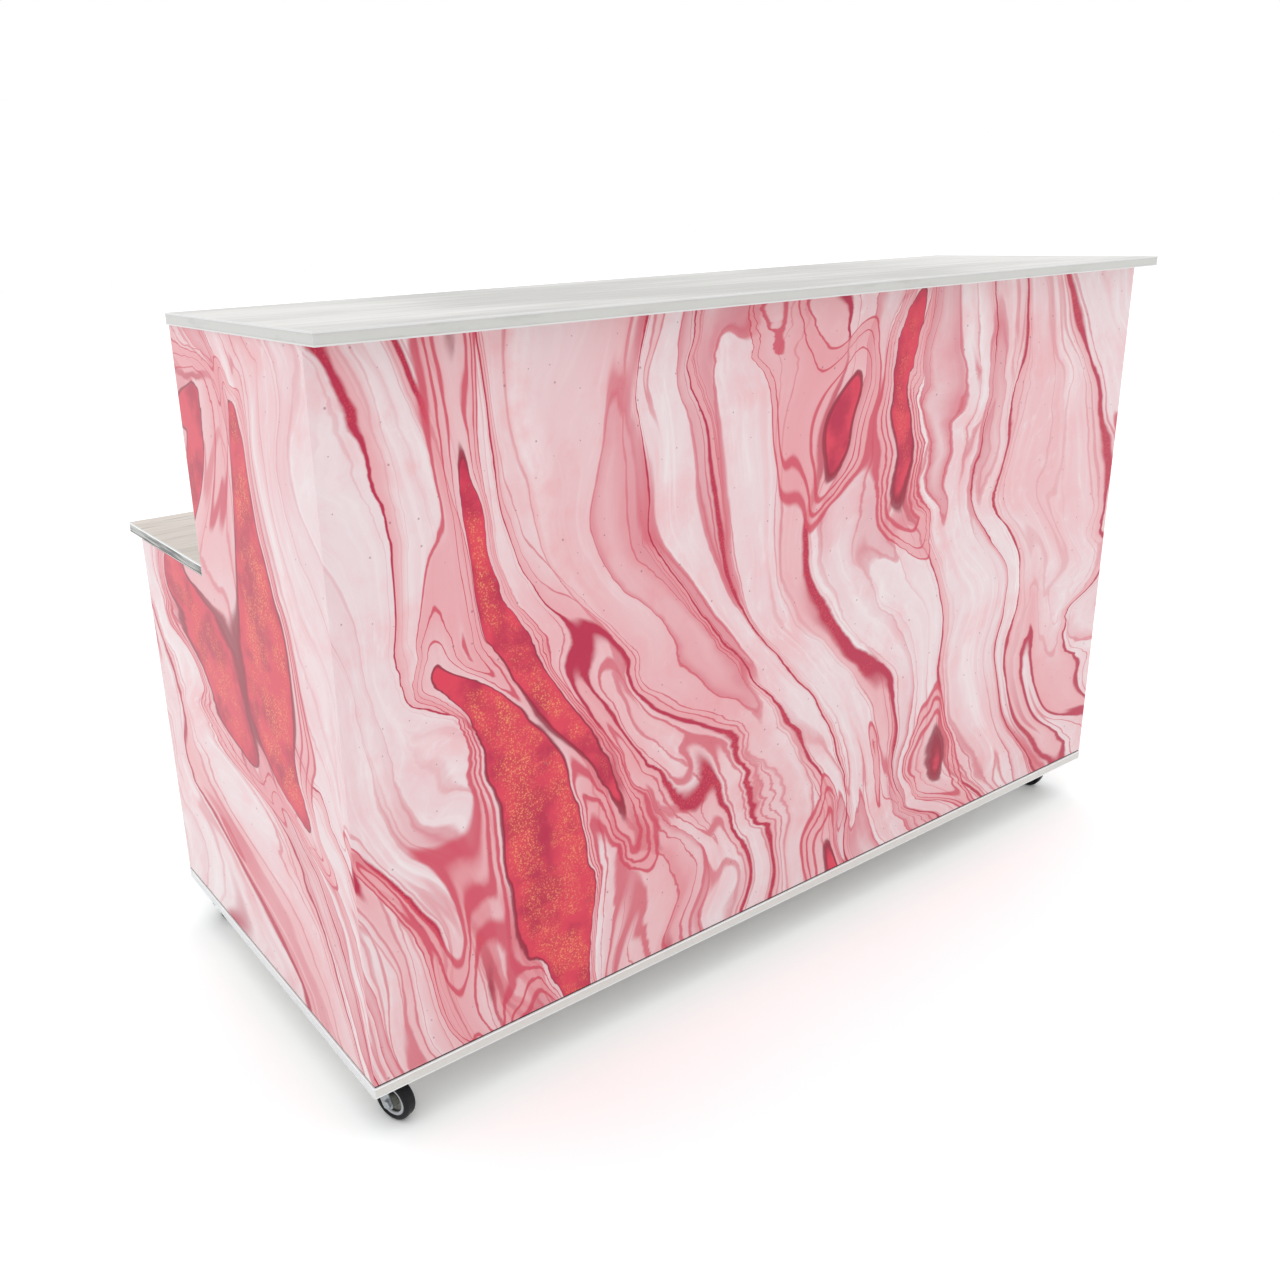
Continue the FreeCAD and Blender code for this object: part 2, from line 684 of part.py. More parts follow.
def fork(corner, pivot_x, pivot_y, heading, braked):
    """A bent channel trimmed to the outline of its legs, with ears for the brake's pin where it has one."""
    body = new_body(f"{corner}_fork")
    outside, inside, foot = "fork_outside", "fork_inside", "wheel_radius - leg_half - overrun"
    length = "crown_length + 2 * (caster_trail + brake_reach)"
    pad(body, "XZ_Plane", [[
        (f"-{outside}", foot), (f"-{inside}", foot), (f"-{inside}", "crown_under"), (inside, "crown_under"),
        (inside, foot), (outside, foot), (outside, "crown_top"), (f"-{outside}", "crown_top")]],
        length, both_ways=True)
    under, middle = number("crown_under"), number("(fork_inside + fork_outside) / 2")
    half_wall = number("fork_thickness / 2")

    def inner_bend(edge):
        centre = edge.CenterOfMass
        return along(edge, "Y") and abs(centre.z - under) < half_wall and abs(centre.x) < middle

    def outer_bend(edge):
        centre = edge.CenterOfMass
        return along(edge, "Y") and centre.z > under + half_wall and abs(centre.x) > middle

    round_edges(body, "fork_bend", inner_bend)
    round_edges(body, "fork_bend + fork_thickness", outer_bend)
    over = "crown_top + overrun"
    behind = [("-crown_half", "skirt_foot"), ("-crown_half", over)]
    if braked:
        ear_rear, ear_foot = "brake_along - brake_ear", "brake_height - brake_ear"
        behind = [("-crown_half", "skirt_foot"), (ear_rear, ear_foot), (ear_rear, over)]
    front_side, rear_side = "leg_half - caster_trail", "-leg_half - caster_trail"
    end = "wheel_radius - leg_half"
    legs = [("crown_half", over), ("crown_half", "skirt_foot"), (front_side, "wheel_radius"),
            (front_side, end), (rear_side, end), (rear_side, "wheel_radius"), *behind]
    reach = f"{length} / 2 + overrun"
    around = rectangle(f"-({reach})", reach, f"{foot} - overrun", f"{over} + overrun")
    pocket(body, "YZ_Plane", [around, legs], "2 * (fork_outside + overrun)", both_ways=True)
    if braked:
        slot = rectangle(f"-{inside}", inside, f"-({reach})", "-crown_half")
        pocket(body, "XY_Plane", [slot], "fork_thickness + fork_bend + overrun", over)
    tip, axle = number("wheel_radius - leg_half / 2"), number("wheel_radius + leg_half / 2")
    round_edges(body, f"leg_half * {TIP_SHARE}", lambda edge: along(edge, "X") and edge.CenterOfMass.z < tip)
    skirt, wall = number("crown_under - fork_bend - edge_round"), number("fork_thickness + edge_round")
    round_edges(body, "fork_corner",
                lambda edge: along(edge, "X") and axle < edge.CenterOfMass.z < skirt and edge.Length < wall)
    bore = ("0", "0", "kingpin_bore")
    pocket(body, "XY_Plane", [bore], "fork_thickness + 2 * overrun", "crown_top + overrun")
    across = "2 * (fork_outside + overrun)"
    pocket(body, "YZ_Plane", [("-caster_trail", "wheel_radius", "axle_bore")], across, both_ways=True)
    if braked:
        pocket(body, "YZ_Plane", [("brake_along", "brake_height", "brake_bore")], across, both_ways=True)
    place(body, pivot_x, pivot_y, heading)
    return node(f"{corner}_fork", body)


def axle(corner, pivot_x, pivot_y, heading):
    """Bolt across the fork, with its head on one leg and a nut on the other."""
    bolt = new_body(f"{corner}_axle_bolt")
    pad(bolt, "YZ_Plane", [hexagon("axle_head_width")], "axle_head_height", "-fork_outside", reverse=True)
    shank = "2 * fork_outside + nut_height + thread_length"
    pad(bolt, "YZ_Plane", [("0", "0", "axle_diameter")], shank, "-fork_outside")
    nut = new_body(f"{corner}_axle_nut")
    pad(nut, "YZ_Plane", [hexagon("axle_head_width"), ("0", "0", "axle_bore")], "nut_height", "fork_outside")
    for body in (bolt, nut):
        place(body, pivot_x, pivot_y, heading, "-caster_trail", "wheel_radius")
    return group(f"{corner}_axle", [bolt, nut])


def both_sides(half):
    """A section's outline from the points of its half beyond X = 0."""
    return half + [(f"-({across})", up) for across, up in reversed(half)]


def wheel(corner, pivot_x, pivot_y, heading):
    """A moulded core with a hub, a recessed web and a rim, and a rounded tyre on the rim."""
    core = new_body(f"{corner}_wheel_core")
    hub, bore, hub_side = "hub_diameter / 2", "axle_bore / 2", "fork_inside - hub_gap"
    web, rim, ring = "web_thickness / 2", "rim_width / 2", "rim_radius - rim_ring"
    half = [(hub_side, bore), (hub_side, hub), (web, f"{hub} + core_draft"), (web, f"{ring} - core_draft"),
            (rim, ring), (rim, "rim_radius")]
    revolve(core, "XZ_Plane", [both_sides(half)], "X_Axis")

    tyre = new_body(f"{corner}_tyre")
    side, seat = "tyre_width / 2", "rim_radius + seat_clearance"
    section = [(f"{side} - tyre_bevel", seat), (side, f"{seat} + tyre_bevel"), (side, "wheel_radius")]
    revolve(tyre, "XZ_Plane", [both_sides(section)], "X_Axis")
    outer = number("wheel_radius - tyre_bevel / 4")
    round_edges(tyre, "min(tread_round; tyre_depth - tyre_bevel - seat_clearance - edge_round)",
                lambda edge: is_circle(edge) and edge.Curve.Radius > outer)
    for name, body in (("wheel_core", core), ("tyre", tyre)):
        place(body, pivot_x, pivot_y, heading, "-caster_trail", "wheel_radius")
        node(f"{corner}_{name}", body)


def brake(corner, pivot_x, pivot_y, heading):
    """A foot pedal on a pin between the fork's ears, with a nose that turns down on to the tyre."""
    pin = new_body(f"{corner}_brake_pin")
    shaft, head = "brake_pin_diameter / 2", "brake_pin_head / 2"
    end = "fork_outside + brake_pin_head_height"
    half = [("fork_outside", shaft), ("fork_outside", head), (f"{end} - edge_round", head),
            (end, f"{head} - edge_round"), (end, "0")]
    revolve(pin, "XZ_Plane", [both_sides(half)], "X_Axis")

    pedal = new_body(f"{corner}_brake_pedal")
    width = "2 * (fork_inside - brake_side_gap)"
    top, toe = "brake_hub_radius", "brake_hub_radius + pedal_rise"
    lip = "pedal_thickness / sqrt(2)"
    pad(pedal, "YZ_Plane", [[
        ("0", top), ("-pedal_length", toe), ("-pedal_length - toe_lip", f"{toe} + toe_lip"),
        (f"-pedal_length - toe_lip - {lip}", f"{toe} + toe_lip - {lip}"),
        ("-pedal_length", f"{toe} - pedal_thickness"), ("0", f"{top} - pedal_thickness")]],
        width, both_ways=True)
    pad(pedal, "YZ_Plane", [("0", "0", "2 * brake_hub_radius")], width, both_ways=True)
    angle = "brake_tilt - 90 - brake_lock"
    nose = (f"nose_offset * cos({angle})", f"nose_offset * sin({angle})", "2 * brake_nose_radius")
    pad(pedal, "YZ_Plane", [nose], "tyre_width", both_ways=True)
    for step in range(GRIP_COUNT):
        middle = f"-pedal_length * {(step + 1.5) / (GRIP_COUNT + 1)}"
        surface = f"{top} - ({middle}) * pedal_rise / pedal_length"
        groove = rectangle(f"{middle} - grip_width / 2", f"{middle} + grip_width / 2",
                           f"{surface} - grip_depth", f"{surface} + overrun")
        pocket(pedal, "YZ_Plane", [groove], width, both_ways=True)
    pocket(pedal, "YZ_Plane", [("0", "0", "brake_bore")], f"{width} + 2 * overrun", both_ways=True)
    for name, body in (("brake_pin", pin), ("brake_pedal", pedal)):
        place(body, pivot_x, pivot_y, heading, "brake_along", "brake_height")
        node(f"{corner}_{name}", body)


def casters():
    screws = []
    for corner, pivot_x, pivot_y, heading in corner_places():
        braked = corner.startswith("rear")
        caster_plate(corner, pivot_x, pivot_y)
        kingpin(corner, pivot_x, pivot_y)
        screws.append(caster_screws(corner, pivot_x, pivot_y))
        fork(corner, pivot_x, pivot_y, heading, braked)
        axle(corner, pivot_x, pivot_y, heading)
        wheel(corner, pivot_x, pivot_y, heading)
        if braked:
            brake(corner, pivot_x, pivot_y, heading)
    group("caster_screws", screws)


def export():
    """Writes every node as a STEP file, once all features are sound."""
    DOC.recompute()
    for item in DOC.Objects:
        if "Invalid" in item.State or "Error" in item.State:
            raise RuntimeError(f"{item.Label} did not recompute: {item.State}")
    os.makedirs("parts", exist_ok=True)
    for name, shape_object in NODES.items():
        if shape_object.Shape.isNull() or not shape_object.Shape.isValid():
            raise RuntimeError(f"{name} has no sound shape")
        shape_object.Shape.exportStep(f"parts/{name}.step")


base()
bar_top()
work_top()
upright_boards()
graphic_panels()
shelves()
shelf_pins()
cleats()
brackets()
casters()
export()
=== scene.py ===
import json
import math
import bmesh
import bpy
from mathutils import Matrix, Vector


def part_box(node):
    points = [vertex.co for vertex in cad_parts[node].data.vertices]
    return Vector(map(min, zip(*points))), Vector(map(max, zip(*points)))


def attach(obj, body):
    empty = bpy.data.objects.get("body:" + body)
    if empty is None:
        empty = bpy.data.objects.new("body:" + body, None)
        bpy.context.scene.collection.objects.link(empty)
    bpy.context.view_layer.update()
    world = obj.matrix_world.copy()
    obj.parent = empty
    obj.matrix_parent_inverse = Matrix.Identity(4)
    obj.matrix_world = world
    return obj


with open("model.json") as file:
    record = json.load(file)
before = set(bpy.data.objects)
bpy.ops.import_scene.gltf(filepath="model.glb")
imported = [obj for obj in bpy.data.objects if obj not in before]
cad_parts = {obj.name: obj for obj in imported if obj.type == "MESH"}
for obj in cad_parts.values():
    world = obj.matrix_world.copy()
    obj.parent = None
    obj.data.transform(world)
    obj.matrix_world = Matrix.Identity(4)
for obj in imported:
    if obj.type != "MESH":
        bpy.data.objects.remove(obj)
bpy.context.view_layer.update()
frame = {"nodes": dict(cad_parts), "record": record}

# Places read from the frame, in metres: X to the right, Y to the back, Z up from the floor
FRONT_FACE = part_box("front_graphic_panel")[0].y
HALF_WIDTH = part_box("front_graphic_panel")[1].x
PRINT_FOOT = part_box("front_graphic_panel")[0].z
BOARD_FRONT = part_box("front_board")[0].y
BOARD_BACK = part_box("front_board")[1].y
BOARD_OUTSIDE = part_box("right_side_board")[1].x
BOARD_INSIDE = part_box("right_side_board")[0].x
HALF_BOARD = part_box("centre_divider")[1].x
DECK_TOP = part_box("base_deck")[1].z
CARCASS_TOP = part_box("bar_top_board")[0].z
LOWER_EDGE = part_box("right_side_board")[1].y
RAIL_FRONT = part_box("work_top_rear_rail")[0].y
APRON_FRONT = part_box("bar_top_rear_rail")[0].y
PIN_LEVEL = sum(corner.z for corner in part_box("shelf_pins")) / 2
# In degrees
QUARTER_TURN = 90

# The casters, the lips of the edge trims, the black strip that stands in for the shade in the gap under the
# print, and the rows of holes for the shelf pins
CORNERS = ("front_left", "front_right", "rear_left", "rear_right")
TRIM_LIP = 0.0026
LIP_BLUR_SHARE = 0.2
GAP_SHADE_SETBACK = 0.001
HOLE_EDGE = 0.0005
HOLE_ROWS_REACH = 0.085
DIVIDER_EDGE_REACH = 0.085

# The corner brackets: their places along a board, their wall, where their screws sit on the legs,
# and how far each screw is turned on from the one before
BRACKET_SHARES = (0.2, 0.8)
BRACKET_WALL = 0.0025
SCREW_INSET = 0.02125
SCREW_TURN = math.radians(137.5)

# A screw head on a lathe: its rings as shares of its radius, and its recess pressed in along four arms
HEAD_RADIUS = 0.0042
HEAD_HEIGHT = 0.0024
HEAD_ROUNDNESS = 4
HEAD_RING_SHARES = (0.1, 0.16, 0.24, 0.32, 0.42, 0.52, 0.58, 0.62, 0.72, 0.82, 0.9, 0.96, 1.0)
CROSS_REACH_SHARE = 0.6
CROSS_MIDDLE_SHARE = 0.2
CROSS_DEPTH = 0.0014
# The lathe's lines on either side of each arm, and the arm's half width, in degrees
HEAD_LINES = (-14, -7, 0, 7, 14, 17, 31, 45, 59, 73)
CROSS_HALF_ANGLE = 15

# The photograph's view: where the camera stands and how it is turned, in degrees
CAMERA_PLACE = (-1.502, -1.767, 1.328)
CAMERA_HEADING = 34.75
CAMERA_TILT = 18.2
CAMERA_ROLL = -2.1
CAMERA_LENS = 33.19
SENSOR_WIDTH = 36.0
CAMERA_SHIFT = (0.07, -0.0276)

# Light: a white surround that dims towards the horizon, and a broad soft sun overhead
WHITE = (1.0, 1.0, 1.0, 1.0)
SURROUND = 0.95
HORIZON = 0.62
HORIZON_REACH = 0.7
SUN_TURN = (6.0, 0.0, 205.0)
SUN_SPREAD = 70.0
SUN_LEVEL = 0.62
# The floor's colour in the light that it throws, and as it is seen, which is white where nothing shades it
FLOOR_REACH = 30.0
FLOOR_COLOUR = (0.94, 0.94, 0.94, 1.0)
FLOOR_SEEN_COLOUR = (1.175, 1.19, 1.187, 1.0)


def srgb(red, green, blue):
    """A colour as it is read on a screen, from 0 to 255, as a linear shader colour."""
    def linear(level):
        share = level / 255
        return share / 12.92 if share <= 0.04045 else ((share + 0.055) / 1.055) ** 2.4
    return (linear(red), linear(green), linear(blue), 1.0)


# Colours of the print
PALE = srgb(241, 222, 225)
BLUSH = srgb(242, 199, 204)
CHALK = srgb(249, 241, 242)
SALMON = srgb(237, 158, 165)
ROSE = srgb(222, 120, 134)
BLOTCH = srgb(244, 187, 192)
LINE = srgb(212, 62, 90)
CRIMSON = srgb(226, 62, 88)
DEEP_CRIMSON = srgb(190, 34, 74)
RIM = srgb(150, 20, 54)
CORAL = srgb(236, 92, 84)
GOLD = srgb(246, 158, 112)
SPECK = srgb(160, 96, 108)

# Colours of the boards and their edges
MELAMINE = srgb(237, 236, 232)
MELAMINE_SMUDGE = srgb(230, 228, 224)
MELAMINE_SCUFF = srgb(196, 194, 188)
CHIPS = srgb(150, 118, 86)
CHIPS_DARK = srgb(112, 86, 60)
BAND = srgb(208, 208, 205)
BAND_LIGHT = srgb(215, 215, 212)
BAND_WORN = srgb(192, 192, 188)
# Painted highlight on the lips of the bar top's edging
BAND_LIP_HIGHLIGHT = srgb(236, 237, 237)
# Dark and bright painted reflections on the polished work-top trim
DARK_REFLECTION = srgb(44, 45, 45)
BRIGHT_REFLECTION = srgb(158, 158, 155)
# Painted highlight on the lips of the work-top trim
METAL_LIP_HIGHLIGHT = srgb(228, 229, 229)
COAT = srgb(238, 241, 242)
COAT_SHADE = srgb(231, 235, 237)
# Painted shade: the base coat's front-facing web, darker than its sides
COAT_FRONT_SHADE = srgb(230, 229, 224)
COAT_FRONT_SHADE_DARK = srgb(222, 221, 216)
COAT_GRAIN = srgb(206, 206, 204)
# Painted highlight on the lips of the base trim
COAT_LIP_HIGHLIGHT = srgb(251, 252, 253)

# Colours of the casters, the brackets and the black strip painted in as the shade in the gap under the print
ZINC = srgb(184, 188, 191)
ZINC_DULL = srgb(150, 154, 158)
NYLON = srgb(172, 177, 174)
NYLON_DARK = srgb(148, 154, 151)
NYLON_RIM = srgb(192, 195, 199)
# Dirt and painted shade in the wheels' hollows, and painted shade in the creases at the feet of rim and hub
DIRT_AND_SHADE = srgb(104, 104, 92)
CREASE_SHADE = srgb(38, 38, 35)
RUBBER = srgb(14, 14, 19)
RUBBER_DUST = srgb(39, 38, 41)
PEDAL = srgb(42, 42, 44)
PEDAL_WORN = srgb(78, 78, 80)
# The black strip painted in as the shade in the gap under the print, with its open cells
GAP_SHADE_BLACK = srgb(20, 20, 21)
GAP_SHADE_CELLS = srgb(44, 43, 43)


class Graph:
    """Short names for the nodes of one tree."""

    def __init__(self, tree):
        self.tree = tree

    def node(self, kind, **settings):
        made = self.tree.nodes.new("ShaderNode" + kind)
        for key, value in settings.items():
            setattr(made, key, value)
        return made

    def feed(self, socket, value):
        """Links a socket to another, or sets a plain value on it."""
        if isinstance(value, bpy.types.NodeSocket):
            self.tree.links.new(value, socket)
        else:
            socket.default_value = value

    def math(self, operation, *values):
        made = self.node("Math", operation=operation)
        for socket, value in zip(made.inputs, values):
            self.feed(socket, value)
        return made.outputs[0]

    def chain(self, operation, values):
        """One operation on any number of values, taken in turn."""
        result = values[0]
        for value in values[1:]:
            result = self.math(operation, result, value)
        return result

    def add(self, *values):
        return self.chain("ADD", values)

    def times(self, *values):
        return self.chain("MULTIPLY", values)

    def most(self, *values):
        return self.chain("MAXIMUM", values)

    def minus(self, first, second):
        return self.math("SUBTRACT", first, second)

    def away(self, value, level):
        """How far a value lies from a level, on either side of it."""
        return self.math("ABSOLUTE", self.minus(value, level))

    def parts(self, vector):
        """The three coordinates of a point or a direction."""
        split = self.node("SeparateXYZ")
        self.feed(split.inputs[0], vector)
        return split.outputs

    def tones(self, colour):
        """The three channels of a colour."""
        split = self.node("SeparateColor")
        self.feed(split.inputs[0], colour)
        return split.outputs

    def point(self, x, y, z=0.0):
        made = self.node("CombineXYZ")
        for socket, value in zip(made.inputs, (x, y, z)):
            self.feed(socket, value)
        return made.outputs[0]

    def stretch(self, vector, factors):
        made = self.node("VectorMath", operation="MULTIPLY")
        self.feed(made.inputs[0], vector)
        made.inputs[1].default_value = factors
        return made.outputs[0]

    def shift(self, vector, offset):
        made = self.node("VectorMath", operation="ADD")
        self.feed(made.inputs[0], vector)
        self.feed(made.inputs[1], offset)
        return made.outputs[0]

    def noise_node(self, vector, scale, detail, roughness=0.5, distortion=0.0):
        made = self.node("TexNoise")
        self.feed(made.inputs["Vector"], vector)
        made.inputs["Scale"].default_value = scale
        made.inputs["Detail"].default_value = detail
        made.inputs["Roughness"].default_value = roughness
        made.inputs["Distortion"].default_value = distortion
        return made

    def noise(self, vector, scale=1.0, detail=2.0, roughness=0.5, distortion=0.0):
        return self.noise_node(vector, scale, detail, roughness, distortion).outputs["Fac"]

    def stir(self, vector, scale, amount):
        """Points carried about by noise, as paint is by a stirring stick."""
        noise = self.noise_node(vector, scale, detail=1.0).outputs["Color"]
        centred = self.shift(noise, (-0.5, -0.5, -0.5))
        return self.shift(vector, self.stretch(centred, (amount, amount, 0.0)))

    def cells(self, vector, scale, spread="3D"):
        """Distance to the nearest of scattered points, and that point's own random colour."""
        made = self.node("TexVoronoi", voronoi_dimensions=spread)
        self.feed(made.inputs["Vector"], vector)
        made.inputs["Scale"].default_value = scale
        return made.outputs["Distance"], made.outputs["Color"]

    def step(self, value, low, high):
        """A smooth rise from 0 at low to 1 at high."""
        made = self.node("MapRange", interpolation_type="SMOOTHSTEP")
        self.feed(made.inputs["Value"], value)
        self.feed(made.inputs["From Min"], low)
        self.feed(made.inputs["From Max"], high)
        return made.outputs["Result"]

    def range(self, value, low, high, full=1.0):
        """A value from 0 to full, spread between two others."""
        made = self.node("MapRange")
        self.feed(made.inputs["Value"], value)
        made.inputs["From Max"].default_value = full
        self.feed(made.inputs["To Min"], low)
        self.feed(made.inputs["To Max"], high)
        return made.outputs["Result"]

    def mix(self, share, first, second):
        made = self.node("Mix", data_type="RGBA")
        colours = [socket for socket in made.inputs if socket.type == "RGBA"]
        self.feed(made.inputs["Factor"], share)
        for socket, value in zip(colours, (first, second)):
            self.feed(socket, value)
        return next(socket for socket in made.outputs if socket.type == "RGBA")

    def seen(self):
        """1 for what is seen directly, in a reflection or through glass, 0 for light thrown on others."""
        path = self.node("LightPath")
        return self.most(*(path.outputs[f"Is {kind} Ray"] for kind in ("Camera", "Glossy", "Transmission")))


class Finish(Graph):
    """The node tree of a new material, with its shader."""

    def __init__(self, name):
        self.material = bpy.data.materials.new(name)
        self.material.use_nodes = True
        super().__init__(self.material.node_tree)
        self.shader = self.tree.nodes["Principled BSDF"]

    def set(self, **values):
        """Feeds the shader's sockets, named with underscores for spaces."""
        for name, value in values.items():
            self.feed(self.shader.inputs[name.replace("_", " ")], value)

    def bump(self, height, strength, distance):
        made = self.node("Bump")
        made.inputs["Strength"].default_value = strength
        made.inputs["Distance"].default_value = distance
        self.feed(made.inputs["Height"], height)
        self.feed(self.shader.inputs["Normal"], made.outputs["Normal"])

    def place(self):
        """Object coordinates, which are the frame's own metres."""
        return self.node("TexCoord").outputs["Object"]

    def axes(self):
        return self.parts(self.place())

    def facing(self):
        """The way a surface faces, along the same axes."""
        return self.parts(self.node("TexCoord").outputs["Normal"])


# How the print's paint was poured, in metres on the sheets unrolled into one plane
PAINT_LEAN = math.radians(24)
PRINT_SEED = (4.3, 1.7, 0.0)
BUSY_SEED = (3.1, 0.4, 0.0)
BLOTCH_SEED = (7.0, 2.0, 0.0)
MOTTLE_STRETCH = (1.0, 0.45, 1.0)
# Each stir of the paint: its scale per metre, and how far it carries the paint
STIRS = ((0.85, 0.95), (2.1, 0.42), (6.0, 0.075), (14.0, 0.022), (45.0, 0.007), (160.0, 0.0016))
# Noise drawn out along the flow: its scale per metre across and along the flow, its seed and its detail
DRAWN_OUT = {
    "swell": (2.0, 3.5, 40.0, 2.0),
    "streaks": (16.0, 1.4, 5.0, 3.0),
    "feathers": (70.0, 5.0, 47.0, 4.0),
    "wash": (4.2, 0.7, 2.0, 3.0),
    "bands": (9.0, 0.9, 8.0, 1.0),
    "veins": (5.0, 0.6, 13.0, 1.0),
    "hairs": (12.0, 0.8, 21.0, 1.0),
    "pools": (4.2, 0.75, 57.0, 1.0),
}
# Where each layer of the print begins on its noise, and where it is full
LAYER_EDGES = {
    "swell": (0.32, 0.68),
    "busy": (0.38, 0.58),
    "cloud": (0.42, 0.70),
    "blotch": (0.47, 0.72),
    "chalk_streaks": (0.50, 0.72),
    "blush_mottle": (0.50, 0.74),
    "chalk_mottle": (0.48, 0.30),
    "chalk_feathers": (0.52, 0.70),
    "blotch_feathers": (0.46, 0.30),
    "wash": (0.50, 0.68),
    "band_start": (0.575, 0.59),
    "band_fade": (0.59, 0.68),
    "halo_start": (-0.055, -0.045),
    "halo_fade": (-0.045, 0.0),
    "pool": (-0.002, 0.002),
    "pool_depth": (0.42, 0.66),
    "clumps": (0.34, 0.60),
    "clump_shore": (0.005, 0.04),
    "grains": (0.56, 0.34),
    "swollen": (0.9, 1.4),
}
# How fully each layer covers what lies under it
COVER_SHARES = {
    "chalk_streaks": 0.85,
    "blotch": 0.6,
    "blush_mottle": 0.45,
    "chalk_mottle": 0.4,
    "lines": 0.85,
    "rings": 0.85,
    "clumps": 0.35,
    "vein_grains": 0.6,
    "rim": 0.9,
    "specks": 0.6,
}
# How fully a layer covers in the calm and in the busy stretches of the print
BUSY_SHARES = {
    "wash": (0.2, 0.8),
    "bands": (0.15, 0.85),
    "hairs": (0.1, 0.7),
    "edges": (0.3, 0.85),
    "beside": (0.25, 0.85),
}
# How fully a layer covers outside and inside the clouds
CLOUD_SHARES = {
    "chalk_feathers": (0.45, 0.15),
    "blotch_feathers": (0.15, 0.5),
    "bleed": (0.75, 0.5),
}
# How fully the wash covers off and on the blotches, and the bands off and on the streaks
BLOTCH_WASH_SHARES = (0.75, 1.0)
STREAK_BAND_SHARES = (0.6, 1.2)
# How fully the bands and the halos of the pools cover at their edge and further in
BAND_FADE_SHARES = (1.0, 0.25)
HALO_FADE_SHARES = (0.75, 0.3)
# Lines along levels of the paint: each one's level and half thickness, thinned and swollen by the two shares
SWELL_SHARES = (0.35, 1.7)
LINE_CORE_SHARE = 0.3
HAIR_LEVEL = 0.44
VEIN_LEVEL = 0.47
BAND_EDGES = ((0.58, 0.016),)
HAIRS = ((HAIR_LEVEL, 0.014),)
VEINS = ((VEIN_LEVEL, 0.012),)
BESIDE_VEINS = ((0.502, 0.005), (0.525, 0.0035), (0.448, 0.004))
POOL_RINGS = ((-0.05, 0.005), (-0.036, 0.003), (-0.02, 0.004), (0.012, 0.003))
POOL_RIM = ((0.0, 0.0055),)
# Colour that bleeds from one side of a line: the line's level, and how far it reaches
VEIN_BLEED = (VEIN_LEVEL, 0.07)
HAIR_BLEED = (HAIR_LEVEL, 0.06)
BLEED_BLUR = 0.004
# The pools lie where their noise passes a level, which is higher in the calm stretches
POOL_LEVEL = 0.60
POOL_CALM_RISE = 0.12
# Grains of gold and specks: how many to the metre, which of them show, and their brightness or size
GRAIN_SCALE = 330.0
GRAIN_CHOICE = 0.25
GRAIN_TONES = (0.2, 0.95)
SPECK_SCALE = 26.0
SPECK_CHOICE = 0.62
SPECK_SIZES = (0.03, 0.075)
SPECK_UNEVENNESS = 2.0
SPECK_CORE_SHARE = 0.4


class Pour(Finish):
    """The nodes of the print, whose sheets are unrolled into one plane and run on round the corners."""

    def __init__(self, name):
        super().__init__(name)
        x, y, z = self.axes()
        across = self.add(x, self.times(self.math("SIGN", x), self.minus(y, FRONT_FACE)))
        self.flat = self.point(across, z)
        self.stirred = self.shift(self.flat, PRINT_SEED)
        for scale, amount in STIRS:
            self.stirred = self.stir(self.stirred, scale, amount)
        along_x, along_z, _ = self.parts(self.stirred)
        cosine, sine = math.cos(PAINT_LEAN), math.sin(PAINT_LEAN)
        self.flow = self.add(self.times(along_x, cosine), self.times(along_z, sine))
        self.length = self.minus(self.times(along_z, cosine), self.times(along_x, sine))
        self.swell = self.range(self.layer("swell", self.drawn_out("swell")), *SWELL_SHARES)
        self.busy = self.layer("busy", self.noise(self.shift(self.flat, BUSY_SEED), scale=1.25, detail=1.0))
        self.cloud = self.layer("cloud", self.noise(self.stirred, scale=2.4, detail=4.0, roughness=0.55))
        self.streaks = self.drawn_out("streaks")
        self.vein = self.drawn_out("veins")
        self.veins = self.lines(self.vein, VEINS)

    def drawn_out(self, name):
        """Noise pulled out along the flow, so that its levels run as nested bands."""
        across_scale, along_scale, seed, detail = DRAWN_OUT[name]
        drawn = self.point(self.times(self.flow, across_scale), self.times(self.length, along_scale), seed)
        return self.noise(drawn, detail=detail)

    def layer(self, name, value):
        """0 to 1 across the named layer's soft edge."""
        return self.step(value, *LAYER_EDGES[name])

    def cover(self, name, value):
        """A layer thinned to its named share."""
        return self.times(value, COVER_SHARES[name])

    def in_busy(self, name, value):
        """A layer that covers more in the busy stretches than in the calm ones."""
        return self.times(value, self.range(self.busy, *BUSY_SHARES[name]))

    def in_cloud(self, name, value):
        """A layer that covers more or less inside the clouds than outside them."""
        return self.times(value, self.range(self.cloud, *CLOUD_SHARES[name]))

    def lines(self, value, marks):
        """Lines along levels of the paint, which swell and thin on their way."""
        drawn = []
        for level, thickness in marks:
            outside = self.times(self.swell, thickness)
            core = self.times(self.swell, thickness * LINE_CORE_SHARE)
            drawn.append(self.step(self.away(value, level), outside, core))
        return self.most(*drawn)

    def bleed(self, value, level, width):
        """Colour that spreads from a line to one side only, and fades."""
        over = self.minus(value, level)
        return self.times(self.step(over, width, 0.0), self.step(over, -BLEED_BLUR, BLEED_BLUR))


